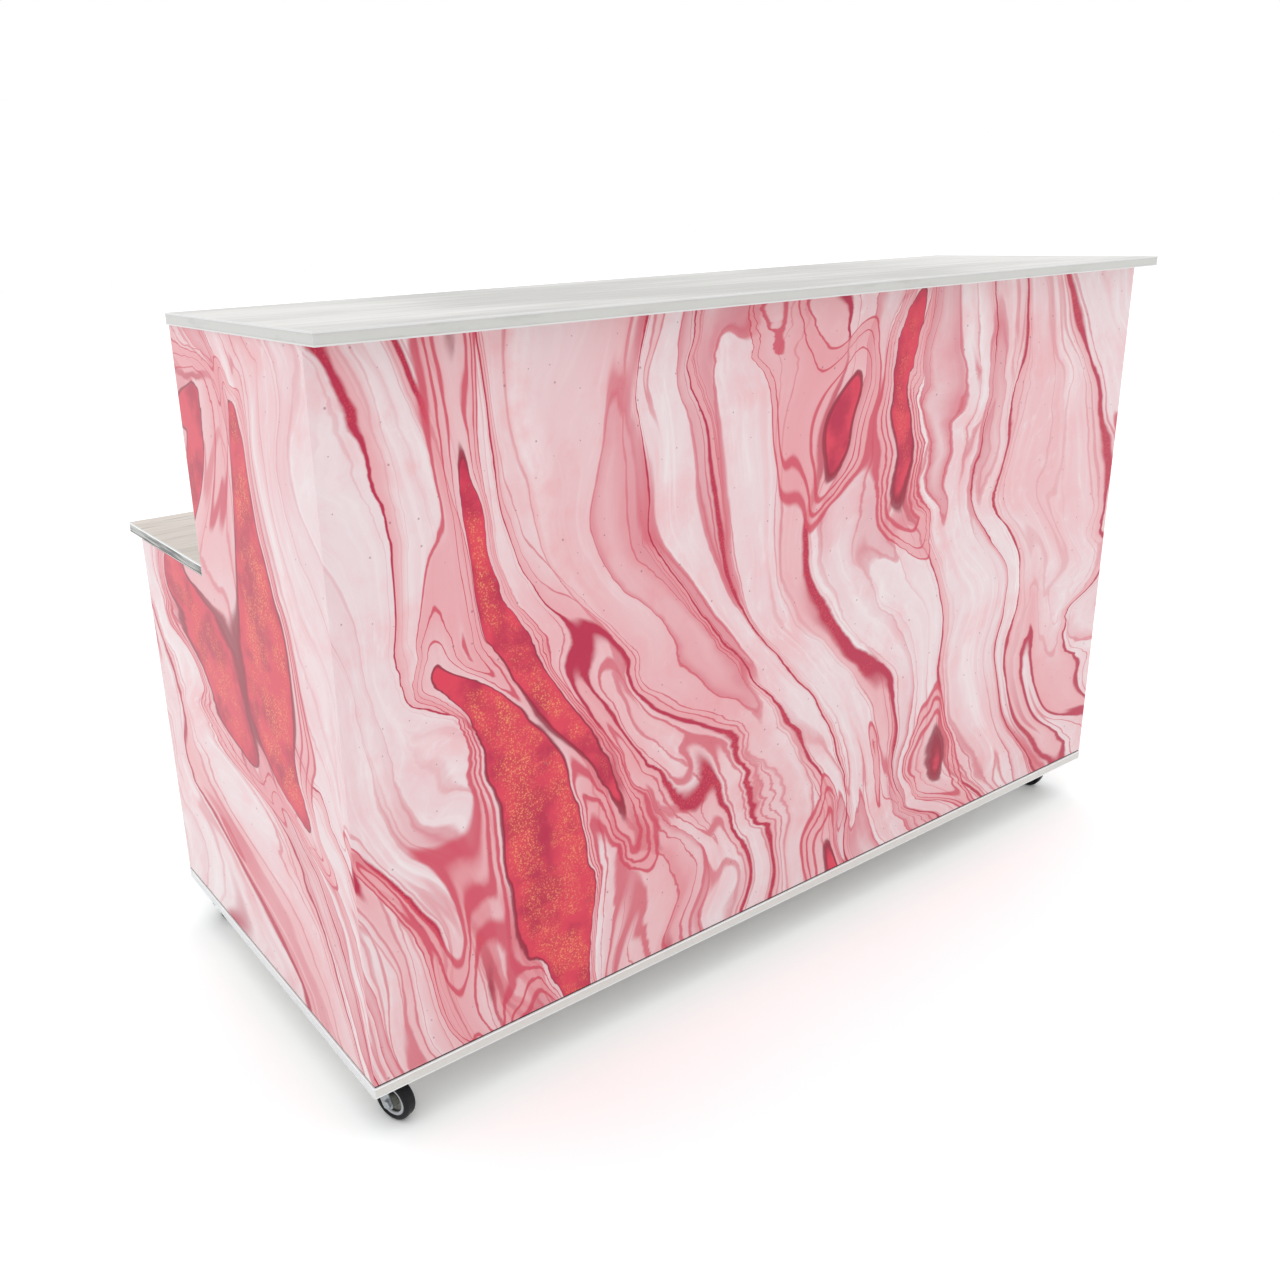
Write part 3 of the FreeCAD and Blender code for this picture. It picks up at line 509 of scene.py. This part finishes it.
def pale_ground(g):
    """The pale paint under the lines: clouds, streaks, blotches, mottling, feathers and a salmon wash."""
    blotch_noise = g.noise(g.shift(g.flat, BLOTCH_SEED), scale=7.0, detail=6.0, roughness=0.62)
    blotch = g.layer("blotch", blotch_noise)
    colour = g.mix(g.cloud, PALE, BLUSH)
    colour = g.mix(g.cover("chalk_streaks", g.layer("chalk_streaks", g.streaks)), colour, CHALK)
    colour = g.mix(g.cover("blotch", blotch), colour, BLOTCH)
    mottle = g.noise(g.stretch(g.stirred, MOTTLE_STRETCH), scale=46.0, detail=5.0, roughness=0.66)
    colour = g.mix(g.cover("blush_mottle", g.layer("blush_mottle", mottle)), colour, BLUSH)
    colour = g.mix(g.cover("chalk_mottle", g.layer("chalk_mottle", mottle)), colour, CHALK)
    feathers = g.drawn_out("feathers")
    chalky = g.in_cloud("chalk_feathers", g.layer("chalk_feathers", feathers))
    colour = g.mix(chalky, colour, CHALK)
    blotchy = g.in_cloud("blotch_feathers", g.layer("blotch_feathers", feathers))
    colour = g.mix(blotchy, colour, BLOTCH)
    wash = g.in_busy("wash", g.layer("wash", g.drawn_out("wash")))
    return g.mix(g.times(wash, g.range(blotch, *BLOTCH_WASH_SHARES)), colour, SALMON)


def lined_ground(g, colour):
    """Rose bands, and the veins, hairs and edges that are drawn along the flow and bleed to one side."""
    bands = g.drawn_out("bands")
    hair = g.drawn_out("hairs")
    fill = g.times(g.layer("band_start", bands), g.range(g.layer("band_fade", bands), *BAND_FADE_SHARES))
    fill = g.times(g.in_busy("bands", fill), g.range(g.streaks, *STREAK_BAND_SHARES))
    colour = g.mix(fill, colour, ROSE)
    spread = g.most(g.bleed(g.vein, *VEIN_BLEED), g.in_busy("hairs", g.bleed(hair, *HAIR_BLEED)))
    colour = g.mix(g.in_cloud("bleed", spread), colour, SALMON)
    edges = g.in_busy("edges", g.lines(bands, BAND_EDGES))
    hairs = g.in_busy("hairs", g.lines(hair, HAIRS))
    beside = g.in_busy("beside", g.lines(g.vein, BESIDE_VEINS))
    colour = g.mix(g.cover("lines", g.most(edges, hairs, beside)), colour, LINE)
    return g.mix(g.veins, colour, DEEP_CRIMSON)


def pooled(g, colour):
    """Crimson pools in nested rings, with clumps of gold grains, some of which follow the veins."""
    calm_drop = g.times(g.minus(g.busy, 1.0), POOL_CALM_RISE)
    depth = g.minus(g.add(g.drawn_out("pools"), calm_drop), POOL_LEVEL)
    halo = g.times(g.layer("halo_start", depth), g.range(g.layer("halo_fade", depth), *HALO_FADE_SHARES))
    colour = g.mix(halo, colour, SALMON)
    colour = g.mix(g.cover("rings", g.lines(depth, POOL_RINGS)), colour, LINE)
    pool = g.mix(g.layer("pool_depth", g.noise(g.flat, scale=14.0, detail=3.0)), CRIMSON, DEEP_CRIMSON)
    clumps = g.layer("clumps", g.noise(g.flat, scale=18.0, detail=4.0))
    clumps = g.times(clumps, g.layer("clump_shore", depth))
    pool = g.mix(g.cover("clumps", clumps), pool, CORAL)
    distance, own = g.cells(g.flat, GRAIN_SCALE)
    choice, brightness, _ = g.tones(own)
    grains = g.times(g.math("GREATER_THAN", choice, GRAIN_CHOICE), g.layer("grains", distance))
    grains = g.times(grains, g.range(brightness, *GRAIN_TONES))
    pool = g.mix(g.times(grains, clumps), pool, GOLD)
    in_veins = g.times(grains, g.veins, g.layer("swollen", g.swell))
    colour = g.mix(g.cover("vein_grains", in_veins), colour, CORAL)
    colour = g.mix(g.layer("pool", depth), colour, pool)
    return g.mix(g.cover("rim", g.lines(depth, POOL_RIM)), colour, RIM)


def specked(g, colour):
    """Fine specks of uneven size, scattered over the sheet."""
    distance, own = g.cells(g.flat, SPECK_SCALE, "2D")
    choice, size, _ = g.tones(own)
    reach = g.range(g.math("POWER", size, SPECK_UNEVENNESS), *SPECK_SIZES)
    specks = g.step(distance, reach, g.times(reach, SPECK_CORE_SHARE))
    specks = g.times(g.math("GREATER_THAN", choice, SPECK_CHOICE), specks)
    return g.mix(g.cover("specks", specks), colour, SPECK)


def printed_sheet():
    """A marbled print: pale ground, rose bands, crimson pools and veins, under a satin laminate."""
    g = Pour("printed_sheet")
    colour = specked(g, pooled(g, lined_ground(g, pale_ground(g))))
    gloss = g.noise(g.flat, scale=9.0, detail=3.0)
    g.set(Base_Color=colour, Roughness=g.range(gloss, low=0.30, high=0.42), Specular_IOR_Level=0.35)
    g.bump(g.noise(g.flat, scale=900.0, detail=1.0), strength=0.08, distance=0.0002)
    return g.material


def bored(g):
    """1 inside the holes for the shelf pins, which are the only faces within the uprights at that height."""
    x, y, z = g.axes()
    aside = g.math("ABSOLUTE", x)
    in_side = g.step(aside, BOARD_INSIDE, BOARD_INSIDE + HOLE_EDGE)
    in_divider = g.times(g.step(aside, HALF_BOARD, HALF_BOARD - HOLE_EDGE),
                         g.step(y, RAIL_FRONT, RAIL_FRONT - DIVIDER_EDGE_REACH))
    near = g.step(g.away(z, PIN_LEVEL), HOLE_ROWS_REACH, HOLE_ROWS_REACH - HOLE_EDGE)
    return g.times(g.most(in_side, in_divider), near)


def melamine():
    """Matt white board faces with a faint pearl texture and scuffs, and raw chipboard in the pin holes."""
    scuff_seed = (3.0, 8.0, 1.0)
    scuff_stretches = ((14.0, 260.0, 260.0), (240.0, 18.0, 240.0))
    scuff_share = 0.55
    g = Finish("white_board")
    place = g.place()
    smudge = g.noise(place, scale=3.0, detail=4.0, roughness=0.6)
    colour = g.mix(g.step(smudge, low=0.45, high=0.75), MELAMINE, MELAMINE_SMUDGE)
    worn = g.step(g.noise(g.shift(place, scuff_seed), scale=5.0), low=0.50, high=0.66)
    for stretch in scuff_stretches:
        scuff = g.step(g.noise(g.stretch(place, stretch), distortion=0.6), low=0.70, high=0.78)
        colour = g.mix(g.times(scuff, worn, scuff_share), colour, MELAMINE_SCUFF)
    chips = g.mix(g.noise(place, scale=420.0, detail=3.0), CHIPS, CHIPS_DARK)
    colour = g.mix(bored(g), colour, chips)
    g.set(Base_Color=colour, Roughness=g.range(smudge, low=0.42, high=0.58), Specular_IOR_Level=0.4)
    g.bump(g.noise(place, scale=700.0), strength=0.12, distance=0.0003)
    return g.material


def streaked_laminate(name, light, dark, mark, chalk, scale, strength, painted_light):
    """Laminate with soft bands and short streaks along X, as on limed wood, greyed in the middle by a painted
    reflection.
    """
    cloud_stretch = (1.0, 2.4, 1.0)
    band_stretch = (0.5, 9.0, 1.0)
    dash_stretch = (2.2, 60.0, 1.0)
    pore_stretch = (12.0, 300.0, 1.0)
    band_share = 0.6
    cloud_share = 0.22
    middle_share = 0.3
    g = Finish(name)
    place = g.place()
    clouds = g.step(g.noise(g.stretch(place, cloud_stretch), scale=1.6, detail=3.0), low=0.40, high=0.66)
    bands = g.noise(g.stretch(place, band_stretch), scale, detail=4.0, roughness=0.6)
    dashes = g.noise(g.stretch(place, dash_stretch), scale, roughness=0.55)
    pores = g.noise(g.stretch(place, pore_stretch), scale)
    # Painted reflection: greyer across the middle
    middle = g.step(g.math("ABSOLUTE", g.axes()[0]), HALF_WIDTH, HALF_WIDTH * middle_share)
    tone = g.add(g.times(bands, band_share), g.times(clouds, cloud_share), g.times(middle, painted_light))
    colour = g.mix(g.step(tone, low=0.20, high=0.70), light, dark)
    colour = g.mix(g.times(g.step(dashes, low=0.58, high=0.72), strength), colour, mark)
    colour = g.mix(g.times(g.step(dashes, low=0.40, high=0.27), strength), colour, chalk)
    g.set(Base_Color=colour, Roughness=g.range(bands, low=0.34, high=0.5), Specular_IOR_Level=0.4)
    g.bump(pores, strength=0.1, distance=0.0003)
    return g.material


def bar_laminate():
    return streaked_laminate("top_board", light=srgb(226, 225, 222), dark=srgb(188, 187, 184),
                             mark=srgb(176, 175, 172), chalk=srgb(232, 231, 229),
                             scale=5.0, strength=0.5, painted_light=0.16)


def work_laminate():
    return streaked_laminate("work_board", light=srgb(216, 206, 197), dark=srgb(194, 185, 176),
                             mark=srgb(164, 156, 147), chalk=srgb(232, 226, 219),
                             scale=3.2, strength=0.9, painted_light=0.05)


def lip_highlights(g, node, z):
    """1 on the two lips of an edge profile, where a highlight is painted, 0 on the web between them and below
    the profile.
    """
    foot, head = [corner.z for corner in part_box(node)]
    blur = TRIM_LIP * LIP_BLUR_SHARE
    upper = g.step(z, head - TRIM_LIP, head - TRIM_LIP + blur)
    lower = g.times(g.step(z, foot + TRIM_LIP, foot + TRIM_LIP - blur), g.step(z, foot - blur, foot))
    return g.most(upper, lower)


def edge_band():
    """Pale plastic edging with fine lengthwise extrusion lines, and painted highlights on the lips on the bar
    top.
    """
    line_stretch = (40.0, 40.0, 400.0)
    wear_stretch = (9.0, 9.0, 60.0)
    wear_share = 0.6
    lip_share = 0.7
    g = Finish("edge_band")
    place = g.place()
    lines = g.noise(g.stretch(place, line_stretch), scale=3.0)
    wear = g.noise(g.stretch(place, wear_stretch), detail=4.0, roughness=0.6)
    web = g.mix(lines, BAND, BAND_LIGHT)
    web = g.mix(g.times(g.step(wear, low=0.52, high=0.72), wear_share), web, BAND_WORN)
    # The lips on the bar top get a painted highlight
    painted_light = g.times(lip_highlights(g, "bar_top_edge_band", g.axes()[2]), lip_share)
    g.set(Base_Color=g.mix(painted_light, web, BAND_LIP_HIGHLIGHT), Roughness=g.range(lines, low=0.28, high=0.4))
    g.bump(lines, strength=0.06, distance=0.0002)
    return g.material


def work_trim():
    """Polished aluminium edging with dark and bright smears of painted reflection along its length, and
    painted highlights on its lips.
    """
    smear_scales = (12.0, 230.0)
    line_scales = (6.0, 1400.0)
    zone_scale = 5.0
    smear_share = 0.6
    zone_share = 0.4
    lower_lip_share = 0.25
    node = "work_top_edge_trim"
    foot, head = [corner.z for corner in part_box(node)]
    g = Finish("work_trim")
    x, y, z = g.axes()
    along = g.add(x, y)

    def drawn(along_scale, height_scale, detail, roughness=0.5):
        point = g.point(g.times(along, along_scale), 0.0, g.times(z, height_scale))
        return g.noise(point, detail=detail, roughness=roughness)

    # Dark and bright smears of painted reflection
    reflection_smears = drawn(*smear_scales, detail=3.0, roughness=0.55)
    zones = g.noise(g.point(g.times(along, zone_scale), 0.0))
    lines = drawn(*line_scales, detail=2.0)
    tone = g.add(g.times(reflection_smears, smear_share), g.times(zones, zone_share))
    web = g.mix(g.step(tone, low=0.43, high=0.58), DARK_REFLECTION, BRIGHT_REFLECTION)
    # Painted highlights on the lips, fainter on the lower one
    painted_light = g.times(lip_highlights(g, node, z), g.range(g.step(z, foot, head), lower_lip_share, 1.0))
    g.set(Base_Color=g.mix(painted_light, web, METAL_LIP_HIGHLIGHT), Metallic=1.0,
          Roughness=g.range(lines, low=0.14, high=0.34))
    g.bump(lines, strength=0.15, distance=0.0002)
    return g.material


def base_trim():
    """A satin pale coat on the base profile: its lips carry painted highlights, its front web is greyed by
    painted shade.
    """
    grain_stretch = (120.0, 120.0, 420.0)
    grain_share = 0.4
    g = Finish("base_trim")
    place = g.place()
    grain = g.noise(g.stretch(place, grain_stretch), detail=4.0, roughness=0.7)
    patches = g.noise(place, scale=5.0, detail=3.0)
    # Painted shade: the front-facing web is greyer than the sides
    front = g.step(g.facing()[1], low=-0.4, high=-0.9)
    front_shade = g.mix(patches, COAT_FRONT_SHADE, COAT_FRONT_SHADE_DARK)
    web = g.mix(front, g.mix(patches, COAT, COAT_SHADE), front_shade)
    web = g.mix(g.times(g.step(grain, low=0.48, high=0.70), grain_share), web, COAT_GRAIN)
    # Painted highlights on the lips
    painted_light = lip_highlights(g, "base_edge_trim", g.axes()[2])
    g.set(Base_Color=g.mix(painted_light, web, COAT_LIP_HIGHLIGHT), Roughness=g.range(grain, low=0.28, high=0.5))
    g.bump(grain, strength=0.12, distance=0.0002)
    return g.material


def zinc_steel():
    """Bright zinc plate, cool and slightly mottled."""
    g = Finish("zinc_steel")
    place = g.place()
    mottle = g.noise(place, scale=90.0, detail=4.0, roughness=0.6)
    g.set(Base_Color=g.mix(mottle, ZINC, ZINC_DULL), Metallic=1.0,
          Roughness=g.range(mottle, low=0.28, high=0.5))
    g.bump(g.noise(place, scale=600.0), strength=0.1, distance=0.0002)
    return g.material


def wheel_reach(g, place):
    """Distance from the middle of the nearest wheel, as a share of its core's radius."""
    shares = []
    for corner in CORNERS:
        low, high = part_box(corner + "_wheel_core")
        away = g.node("VectorMath", operation="DISTANCE")
        g.feed(away.inputs[0], place)
        away.inputs[1].default_value = (low + high) / 2
        shares.append(g.math("DIVIDE", away.outputs["Value"], (high.z - low.z) / 2))
    return g.chain("MINIMUM", shares)


def wheel_plastic():
    """Grey moulded nylon with a bright rim, dirt and painted shade in the hollow, and painted shade in the
    creases at the feet of the rim and the hub.
    """
    # Shares of the core's radius: the hollow's two sides, the rim, and each foot with its half width
    hub_shares = (0.34, 0.50)
    hollow_shares = (0.86, 0.78)
    rim_shares = (0.86, 0.89)
    foot_shares = ((0.43, 0.03), (0.825, 0.045))
    crease_shade_share = 0.85
    crease_shade_core_share = 0.4
    g = Finish("wheel_plastic")
    place = g.place()
    reach = wheel_reach(g, place)
    mottle = g.noise(place, scale=60.0, detail=3.0)
    colour = g.mix(mottle, NYLON, NYLON_DARK)
    # Dirt and painted shade in the hollow between hub and rim
    hollow = g.times(g.step(reach, *hub_shares), g.step(reach, *hollow_shares))
    dirt_and_shade = g.times(hollow, g.range(g.noise(place, scale=220.0, detail=4.0), low=0.35, high=1.1))
    colour = g.mix(dirt_and_shade, colour, DIRT_AND_SHADE)
    colour = g.mix(g.step(reach, *rim_shares), colour, NYLON_RIM)
    # Painted shade in the creases at the feet of the rim and the hub
    for foot, width in foot_shares:
        crease_shade = g.step(g.away(reach, foot), width, width * crease_shade_core_share)
        colour = g.mix(g.times(crease_shade, crease_shade_share), colour, CREASE_SHADE)
    g.set(Base_Color=colour, Roughness=g.range(mottle, low=0.42, high=0.6))
    g.bump(g.noise(place, scale=900.0), strength=0.15, distance=0.0002)
    return g.material


def black_rubber():
    """Black tyre rubber with dust caught on it."""
    g = Finish("black_rubber")
    place = g.place()
    dust = g.step(g.noise(place, scale=45.0, detail=4.0, roughness=0.65), low=0.5, high=0.8)
    g.set(Base_Color=g.mix(dust, RUBBER, RUBBER_DUST), Roughness=g.range(dust, low=0.42, high=0.66),
          Specular_IOR_Level=0.22)
    g.bump(g.noise(place, scale=500.0, detail=3.0), strength=0.25, distance=0.0004)
    return g.material


def pedal_paint():
    """Black paint on the brake pedals, rubbed a little paler."""
    g = Finish("pedal_paint")
    place = g.place()
    wear = g.step(g.noise(place, scale=120.0, detail=4.0, roughness=0.7), low=0.52, high=0.72)
    g.set(Base_Color=g.mix(wear, PEDAL, PEDAL_WORN), Roughness=g.range(wear, low=0.35, high=0.55))
    g.bump(g.noise(place, scale=800.0), strength=0.2, distance=0.0002)
    return g.material


def gap_shade_foam():
    """Black foam with open cells, for the strip painted in as the shade in the gap."""
    g = Finish("gap_shade_foam")
    far, _ = g.cells(g.place(), scale=1500.0)
    g.set(Base_Color=g.mix(far, GAP_SHADE_BLACK, GAP_SHADE_CELLS), Roughness=g.range(far, low=0.8, high=0.95))
    g.bump(far, strength=0.4, distance=0.0003)
    return g.material


def dress_nodes():
    """Gives every CAD node the finish of its material slot."""
    finishes = {
        "printed_sheet": printed_sheet(),
        "white_board": melamine(),
        "top_board": bar_laminate(),
        "work_board": work_laminate(),
        "edge_band": edge_band(),
        "base_trim": base_trim(),
        "work_trim": work_trim(),
        "zinc_steel": zinc_steel(),
        "wheel_plastic": wheel_plastic(),
        "black_rubber": black_rubber(),
        "pedal_paint": pedal_paint(),
    }
    for part in frame["record"]["subparts"]:
        mesh = frame["nodes"][part["node"]].data
        mesh.materials.clear()
        mesh.materials.append(finishes[part["material_slot"]])
    return finishes


def piece(name, shape, material, body):
    """A new piece of the object, made from a finished bmesh, that rides on a body."""
    mesh = bpy.data.meshes.new(name)
    shape.to_mesh(mesh)
    shape.free()
    made = bpy.data.objects.new(name, mesh)
    bpy.context.scene.collection.objects.link(made)
    mesh.materials.append(material)
    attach(made, body)


def gap_shade_strip(material):
    """The black strip in the gap between the printed sheets and the base, painted in as the shade there."""
    outer = (HALF_WIDTH - GAP_SHADE_SETBACK, FRONT_FACE + GAP_SHADE_SETBACK)
    inner = (BOARD_OUTSIDE, BOARD_FRONT)
    plan = [(-outer[0], LOWER_EDGE), (-outer[0], outer[1]), (outer[0], outer[1]), (outer[0], LOWER_EDGE),
            (inner[0], LOWER_EDGE), (inner[0], inner[1]), (-inner[0], inner[1]), (-inner[0], LOWER_EDGE)]
    shape = bmesh.new()
    face = shape.faces.new([shape.verts.new((x, y, DECK_TOP)) for x, y in plan])
    risen = bmesh.ops.extrude_face_region(shape, geom=[face])["geom"]
    bmesh.ops.translate(shape, vec=(0, 0, PRINT_FOOT - DECK_TOP),
                        verts=[item for item in risen if isinstance(item, bmesh.types.BMVert)])
    bmesh.ops.recalc_face_normals(shape, faces=shape.faces)
    piece("gap_shade_strip", shape, material, "counter")


def pan_head(shape, seat, facing, turn):
    """Adds one round screw head with a cross recess: a lathe grid pressed in along four arms."""
    place = Matrix.Translation(seat) @ Vector(facing).to_track_quat("Z", "Y").to_matrix().to_4x4()
    place = place @ Matrix.Rotation(turn, 4, "Z")
    lines = [(quarter * QUARTER_TURN + offset, abs(offset) < CROSS_HALF_ANGLE)
             for quarter in range(4) for offset in HEAD_LINES]
    rows = []
    for share in HEAD_RING_SHARES:
        crown = HEAD_HEIGHT * math.sqrt(1 - share ** HEAD_ROUNDNESS)
        row = []
        for angle, on_arm in lines:
            pressed = share < CROSS_MIDDLE_SHARE or (on_arm and share < CROSS_REACH_SHARE)
            outwards = Vector((math.cos(math.radians(angle)), math.sin(math.radians(angle)), 0))
            point = outwards * HEAD_RADIUS * share + Vector((0, 0, crown - CROSS_DEPTH * pressed))
            row.append(shape.verts.new(place @ point))
        rows.append(row)
    middle = shape.verts.new(place @ Vector((0, 0, HEAD_HEIGHT - CROSS_DEPTH)))
    for step in range(len(lines)):
        after = (step + 1) % len(lines)
        shape.faces.new((middle, rows[0][step], rows[0][after]))
        for inner, outer in zip(rows, rows[1:]):
            shape.faces.new((inner[step], outer[step], outer[after], inner[after]))
    shape.faces.new(list(reversed(rows[-1])))


def bracket_corners():
    """Each corner bracket: where it meets the board, the way it faces, its level, and up or down from it."""
    for level, up, rear in ((DECK_TOP, 1, RAIL_FRONT), (CARCASS_TOP, -1, APRON_FRONT)):
        for side in (-1, 1):
            for share in BRACKET_SHARES:
                along = HALF_BOARD + (BOARD_INSIDE - HALF_BOARD) * share
                yield (side * along, BOARD_BACK), (0, 1), level, up
            for share in BRACKET_SHARES:
                along = BOARD_BACK + (rear - BOARD_BACK) * share
                yield (side * BOARD_INSIDE, along), (-side, 0), level, up


def bracket_screws(material):
    """Two screws for each corner bracket: one into the board, one into the deck or the bar top."""
    shape = bmesh.new()
    count = 0
    for (x, y), (away_x, away_y), level, up in bracket_corners():
        on_board = (x + away_x * BRACKET_WALL, y + away_y * BRACKET_WALL, level + up * SCREW_INSET)
        on_level = (x + away_x * SCREW_INSET, y + away_y * SCREW_INSET, level + up * BRACKET_WALL)
        for seat, facing in ((on_board, (away_x, away_y, 0)), (on_level, (0, 0, up))):
            pan_head(shape, seat, facing, SCREW_TURN * count)
            count += 1
    piece("bracket_screws", shape, material, "counter")


def floor():
    """A wide pale floor that holds the shadow and shows white where light falls on it fully."""
    near, far = -FLOOR_REACH, FLOOR_REACH
    mesh = bpy.data.meshes.new("floor")
    mesh.from_pydata([(near, near, 0), (far, near, 0), (far, far, 0), (near, far, 0)], [], [(0, 1, 2, 3)])
    made = bpy.data.objects.new("floor", mesh)
    bpy.context.scene.collection.objects.link(made)
    g = Finish("floor")
    matt = g.node("BsdfDiffuse")
    g.feed(matt.inputs["Color"], g.mix(g.seen(), FLOOR_COLOUR, FLOOR_SEEN_COLOUR))
    g.feed(g.tree.nodes["Material Output"].inputs["Surface"], matt.outputs[0])
    mesh.materials.append(g.material)


def light():
    """A surround that is white where it is seen and dims towards the horizon as light, and the soft sun."""
    world = bpy.data.worlds.new("surround")
    bpy.context.scene.world = world
    world.use_nodes = True
    g = Graph(world.node_tree)
    background = g.tree.nodes["Background"]
    background.inputs["Color"].default_value = WHITE
    height = g.parts(g.node("TexCoord").outputs["Generated"])[2]
    dome = g.range(height, HORIZON, SURROUND, full=HORIZON_REACH)
    g.feed(background.inputs["Strength"], g.range(g.seen(), dome, 1.0))

    sun = bpy.data.lights.new("soft_sun", "SUN")
    sun.angle = math.radians(SUN_SPREAD)
    sun.energy = SUN_LEVEL
    made = bpy.data.objects.new("soft_sun", sun)
    bpy.context.scene.collection.objects.link(made)
    made.rotation_euler = [math.radians(angle) for angle in SUN_TURN]


def camera():
    """The camera at the photograph's viewing angle."""
    data = bpy.data.cameras.new("camera")
    data.sensor_width = SENSOR_WIDTH
    data.lens = CAMERA_LENS
    data.shift_x, data.shift_y = CAMERA_SHIFT
    made = bpy.data.objects.new("camera", data)
    bpy.context.scene.collection.objects.link(made)
    turn = (Matrix.Rotation(math.radians(-CAMERA_HEADING), 4, "Z")
            @ Matrix.Rotation(math.radians(QUARTER_TURN - CAMERA_TILT), 4, "X")
            @ Matrix.Rotation(math.radians(CAMERA_ROLL), 4, "Z"))
    made.matrix_world = Matrix.Translation(CAMERA_PLACE) @ turn
    bpy.context.scene.camera = made


FINISHES = dress_nodes()
# The black strip stands in for the shade in the gap under the print
gap_shade_strip(gap_shade_foam())
bracket_screws(FINISHES["zinc_steel"])
floor()
light()
camera()
bpy.context.scene.view_settings.view_transform = "Standard"
